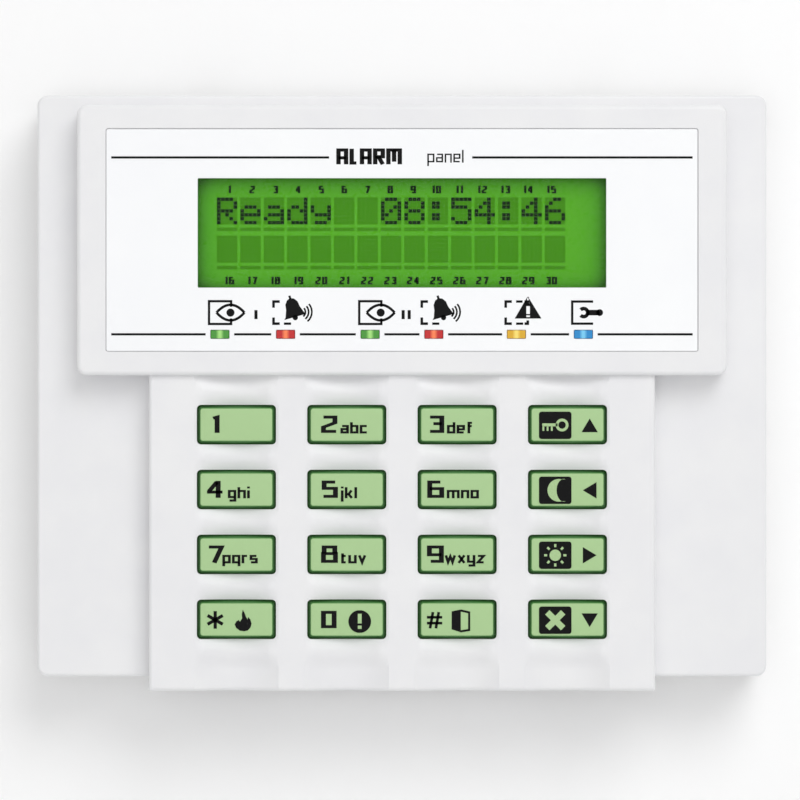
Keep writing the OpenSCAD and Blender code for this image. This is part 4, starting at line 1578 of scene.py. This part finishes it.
@dataclass
class Electronics:
    """The boards and what is soldered or screwed to them, seen when the front is open."""

    PLAIN = {"lcd_board": BOARD, "main_board": BOARD, "contact_pads": GOLD, "key_leds": IVORY, "status_leds": IVORY,
             "microcontroller_leads": TIN, "chip_resistors": EPOXY, "chip_capacitors": CERAMIC, "terminal_clamps": TIN,
             "buzzer_disc": GOLD, "service_pins": GOLD, "lcd_backlight": LIGHT_GUIDE, "lcd_contact_strips": STRIP,
             "tamper_spring": ZINC, "lcd_screws": ZINC, "board_screws": ZINC, "terminal_screws": ZINC}
    SOFT = {"lcd_header": (HEADER, 0.2, "header_nylon"), "microcontroller": (EPOXY, 0.15, "chip_epoxy"),
            "quartz_crystal": (TIN, 0.4, "tinned_lead"), "voltage_regulator": (EPOXY, 0.12, "chip_epoxy"),
            "electrolytic_capacitors": (SLEEVE, 0.35, "capacitor_sleeve"),
            "terminal_block": (TERMINAL, 0.15, "terminal_nylon"),
            "buzzer_case": (HEADER, 0.4, "header_nylon"), "service_header": (HEADER, 0.15, "header_nylon"),
            "tamper_switch": (HEADER, 0.25, "header_nylon"), "key_mat": (BacklitSilicone(
                "milky_green_silicone_mat", "#A9CC92", "#8FBF7A", "#8FBF7A", 16.0, 3.0, 0.0), 0.15, "key_silicone")}
    board: Place = field(default_factory=lambda: Place.of("main_board"))
    joint_size: float = 0.8

    def build(self) -> None:
        """Dresses the CAD's small parts, rounds the moulded ones, and adds the solder joints."""
        for node, finish in self.PLAIN.items():
            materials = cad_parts[node].data.materials
            materials.clear()
            materials.append(finish.material())
            log.info("%s: dressed in %s", node, finish.name)
        for node, (finish, edge, slot) in self.SOFT.items():
            finish_piece(softened(node, f"{node}_body", edge), Body.FRONT.value, finish, [node])
        finish_piece(softened("tamper_plunger", "tamper_button", 0.25), Body.TAMPER.value, IVORY,
                     ["tamper_plunger"])
        self.solder_joints()

    def solder_joints(self) -> None:
        """Adds a domed joint of solder at each through pin, on the board's back, by a node tree."""
        tree = bpy.data.node_groups.new("solder_joint_tree", "GeometryNodeTree")
        tree.interface.new_socket("Pins", in_out="INPUT", socket_type="NodeSocketGeometry")
        radius = tree.interface.new_socket("Joint radius", in_out="INPUT", socket_type="NodeSocketFloat")
        tree.interface.new_socket("Joints", in_out="OUTPUT", socket_type="NodeSocketGeometry")
        given = tree.nodes.new("NodeGroupInput")
        dome = add(tree, "GeometryNodeMeshUVSphere", {"Segments": 12, "Rings": 8,
                                                      "Radius": given.outputs["Joint radius"]})
        flat = add(tree, "GeometryNodeTransform", {"Geometry": dome.outputs["Mesh"], "Scale": (1.0, 0.55, 1.0)})
        spread = add(tree, "GeometryNodeInstanceOnPoints", {"Points": given.outputs["Pins"],
                                                            "Instance": flat.outputs[0]})
        real = add(tree, "GeometryNodeRealizeInstances", {"Geometry": spread.outputs["Instances"]})
        dressed = add(tree, "GeometryNodeSetMaterial", {"Geometry": real.outputs[0], "Material": TIN.material()})
        add(tree, "NodeGroupOutput", {0: dressed.outputs[0]})
        mesh = bpy.data.meshes.new("solder_joints")
        mesh.from_pydata([(x * MM, -self.board.back * MM, z * MM) for x, z in self.pins()], [], [])
        piece = bpy.data.objects.new("solder_joints", mesh)
        bpy.context.scene.collection.objects.link(piece)
        modifier = piece.modifiers.new("joints", "NODES")
        modifier.node_group = tree
        modifier[radius.identifier] = self.joint_size * MM
        finish_piece(settle(piece), Body.FRONT.value, None, crease_degrees=60)

    def pins(self) -> list[Point2]:
        """Gives the pins of the display's header and of the parts that stand on the board's front."""
        header = Place.of("lcd_header")
        row = [(header.x + 2.54 * (i - 7.5), header.z) for i in range(16)]
        lamps = [(x + side * 1.27, Place.of("status_leds").z) for x in Indicators.places() for side in (-1, 1)]
        return row + lamps


class WallPlate:
    """The rear moulding that is screwed to the wall."""

    @staticmethod
    def build() -> None:
        """Makes the plate with soft moulded edges."""
        finish_piece(softened("rear_base", "wall_plate", 0.2), Body.BASE.value, BASE, ["rear_base"])


@dataclass
class Studio:
    """The wall, the floor, the soft lamps and the camera."""

    distance: float = 0.8
    view_height: float = 0.123
    middle: Point2 = (-0.0003, -0.0022)

    def build(self) -> None:
        """Sets the stage and looks at the panel square on."""
        plate, rim = Place.of("rear_base"), 1.0
        behind = Outline((plate.width - 2 * rim) * MM, (plate.height - 2 * rim) * MM, 0.0, plate.x * MM, plate.z * MM)
        upright = (math.radians(90), 0, 0)
        self.plane("wall", (0, 0.0004, 0), upright, 1.6, StageWall("matt_painted_wall", "#FDFDFD"), behind)
        self.plane("floor", (0, -0.6, -0.5), (0, 0, 0), 4.0, StageWall("pale_studio_floor", "#F2F2F2"))
        self.lamp("key_lamp", (0.35, -1.0, 0.7), 0.8, 6.0)
        self.lamp("front_lamp", (-0.2, -1.6, 0.1), 1.0, 2.5)
        self.lamp("back_lamp", (0.3, 1.3, 0.6), 1.0, 7.0)
        # Plain white stays white, and the lit greens keep their strength.
        bpy.context.scene.view_settings.view_transform = "Standard"
        world = bpy.data.worlds.new("studio")
        world.use_nodes = True
        world.node_tree.nodes["Background"].inputs["Color"].default_value = linear("#FFFFFF")
        world.node_tree.nodes["Background"].inputs["Strength"].default_value = 0.56
        bpy.context.scene.world = world
        data = bpy.data.cameras.new("camera")
        near = self.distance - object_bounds()[0].y * -1
        data.sensor_width, data.lens = 36.0, 36.0 * near / self.view_height
        data.clip_start, data.clip_end = 0.05, 20.0
        camera = bpy.data.objects.new("camera", data)
        camera.location = (self.middle[0], -self.distance, self.middle[1])
        camera.rotation_euler = (math.radians(90), 0, 0)
        bpy.context.scene.collection.objects.link(camera)
        bpy.context.scene.camera = camera

    def plane(self, name: str, place: Point3, turn: Point3, size: float, finish: Finish,
              opening: Outline | None = None) -> None:
        """Adds a flat part of the stage.

        Args:
            name: Its name.
            place: Its middle, in metres.
            turn: Its turn about each axis.
            size: The length of its sides, in metres.
            finish: Its material.
            opening: A gap in it, hidden by the rear plate, that lets light reach the plate's back.
        """
        mesh = bpy.data.meshes.new(name)
        outer = [(x * size / 2, y * size / 2, 0) for x, y in ((-1, -1), (1, -1), (1, 1), (-1, 1))]
        if opening:
            inner = [(opening.x + x * opening.width / 2, opening.z + y * opening.height / 2, 0)
                     for x, y in ((-1, -1), (1, -1), (1, 1), (-1, 1))]
            mesh.from_pydata(outer + inner, [], [(i, (i + 1) % 4, (i + 1) % 4 + 4, i + 4) for i in range(4)])
        else:
            mesh.from_pydata(outer, [], [(0, 1, 2, 3)])
        made = bpy.data.objects.new(name, mesh)
        made.location, made.rotation_euler = place, turn
        mesh.materials.append(finish.material())
        bpy.context.scene.collection.objects.link(made)
        made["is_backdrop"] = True

    def lamp(self, name: str, place: Point3, size: float, watts: float) -> None:
        """Adds a soft lamp that faces the panel.

        Args:
            name: The lamp's name.
            place: Where it is, in metres.
            size: Its diameter, in metres.
            watts: Its power.
        """
        data = bpy.data.lights.new(name, "AREA")
        data.shape, data.size, data.energy = "DISK", size, watts
        made = bpy.data.objects.new(name, data)
        made.location = place
        made.rotation_euler = (-Vector(place)).to_track_quat("-Z", "Y").to_euler()
        bpy.context.scene.collection.objects.link(made)


def main() -> None:
    """Builds the panel and its stage."""
    logging.basicConfig(level=logging.INFO, format="%(name)s: %(message)s")
    WallPlate.build()
    Housing().build()
    Fascia().build()
    Indicators.build()
    Display().build()
    Keypad().build()
    Electronics().build()
    Studio().build()


if __name__ == "__main__":
    main()
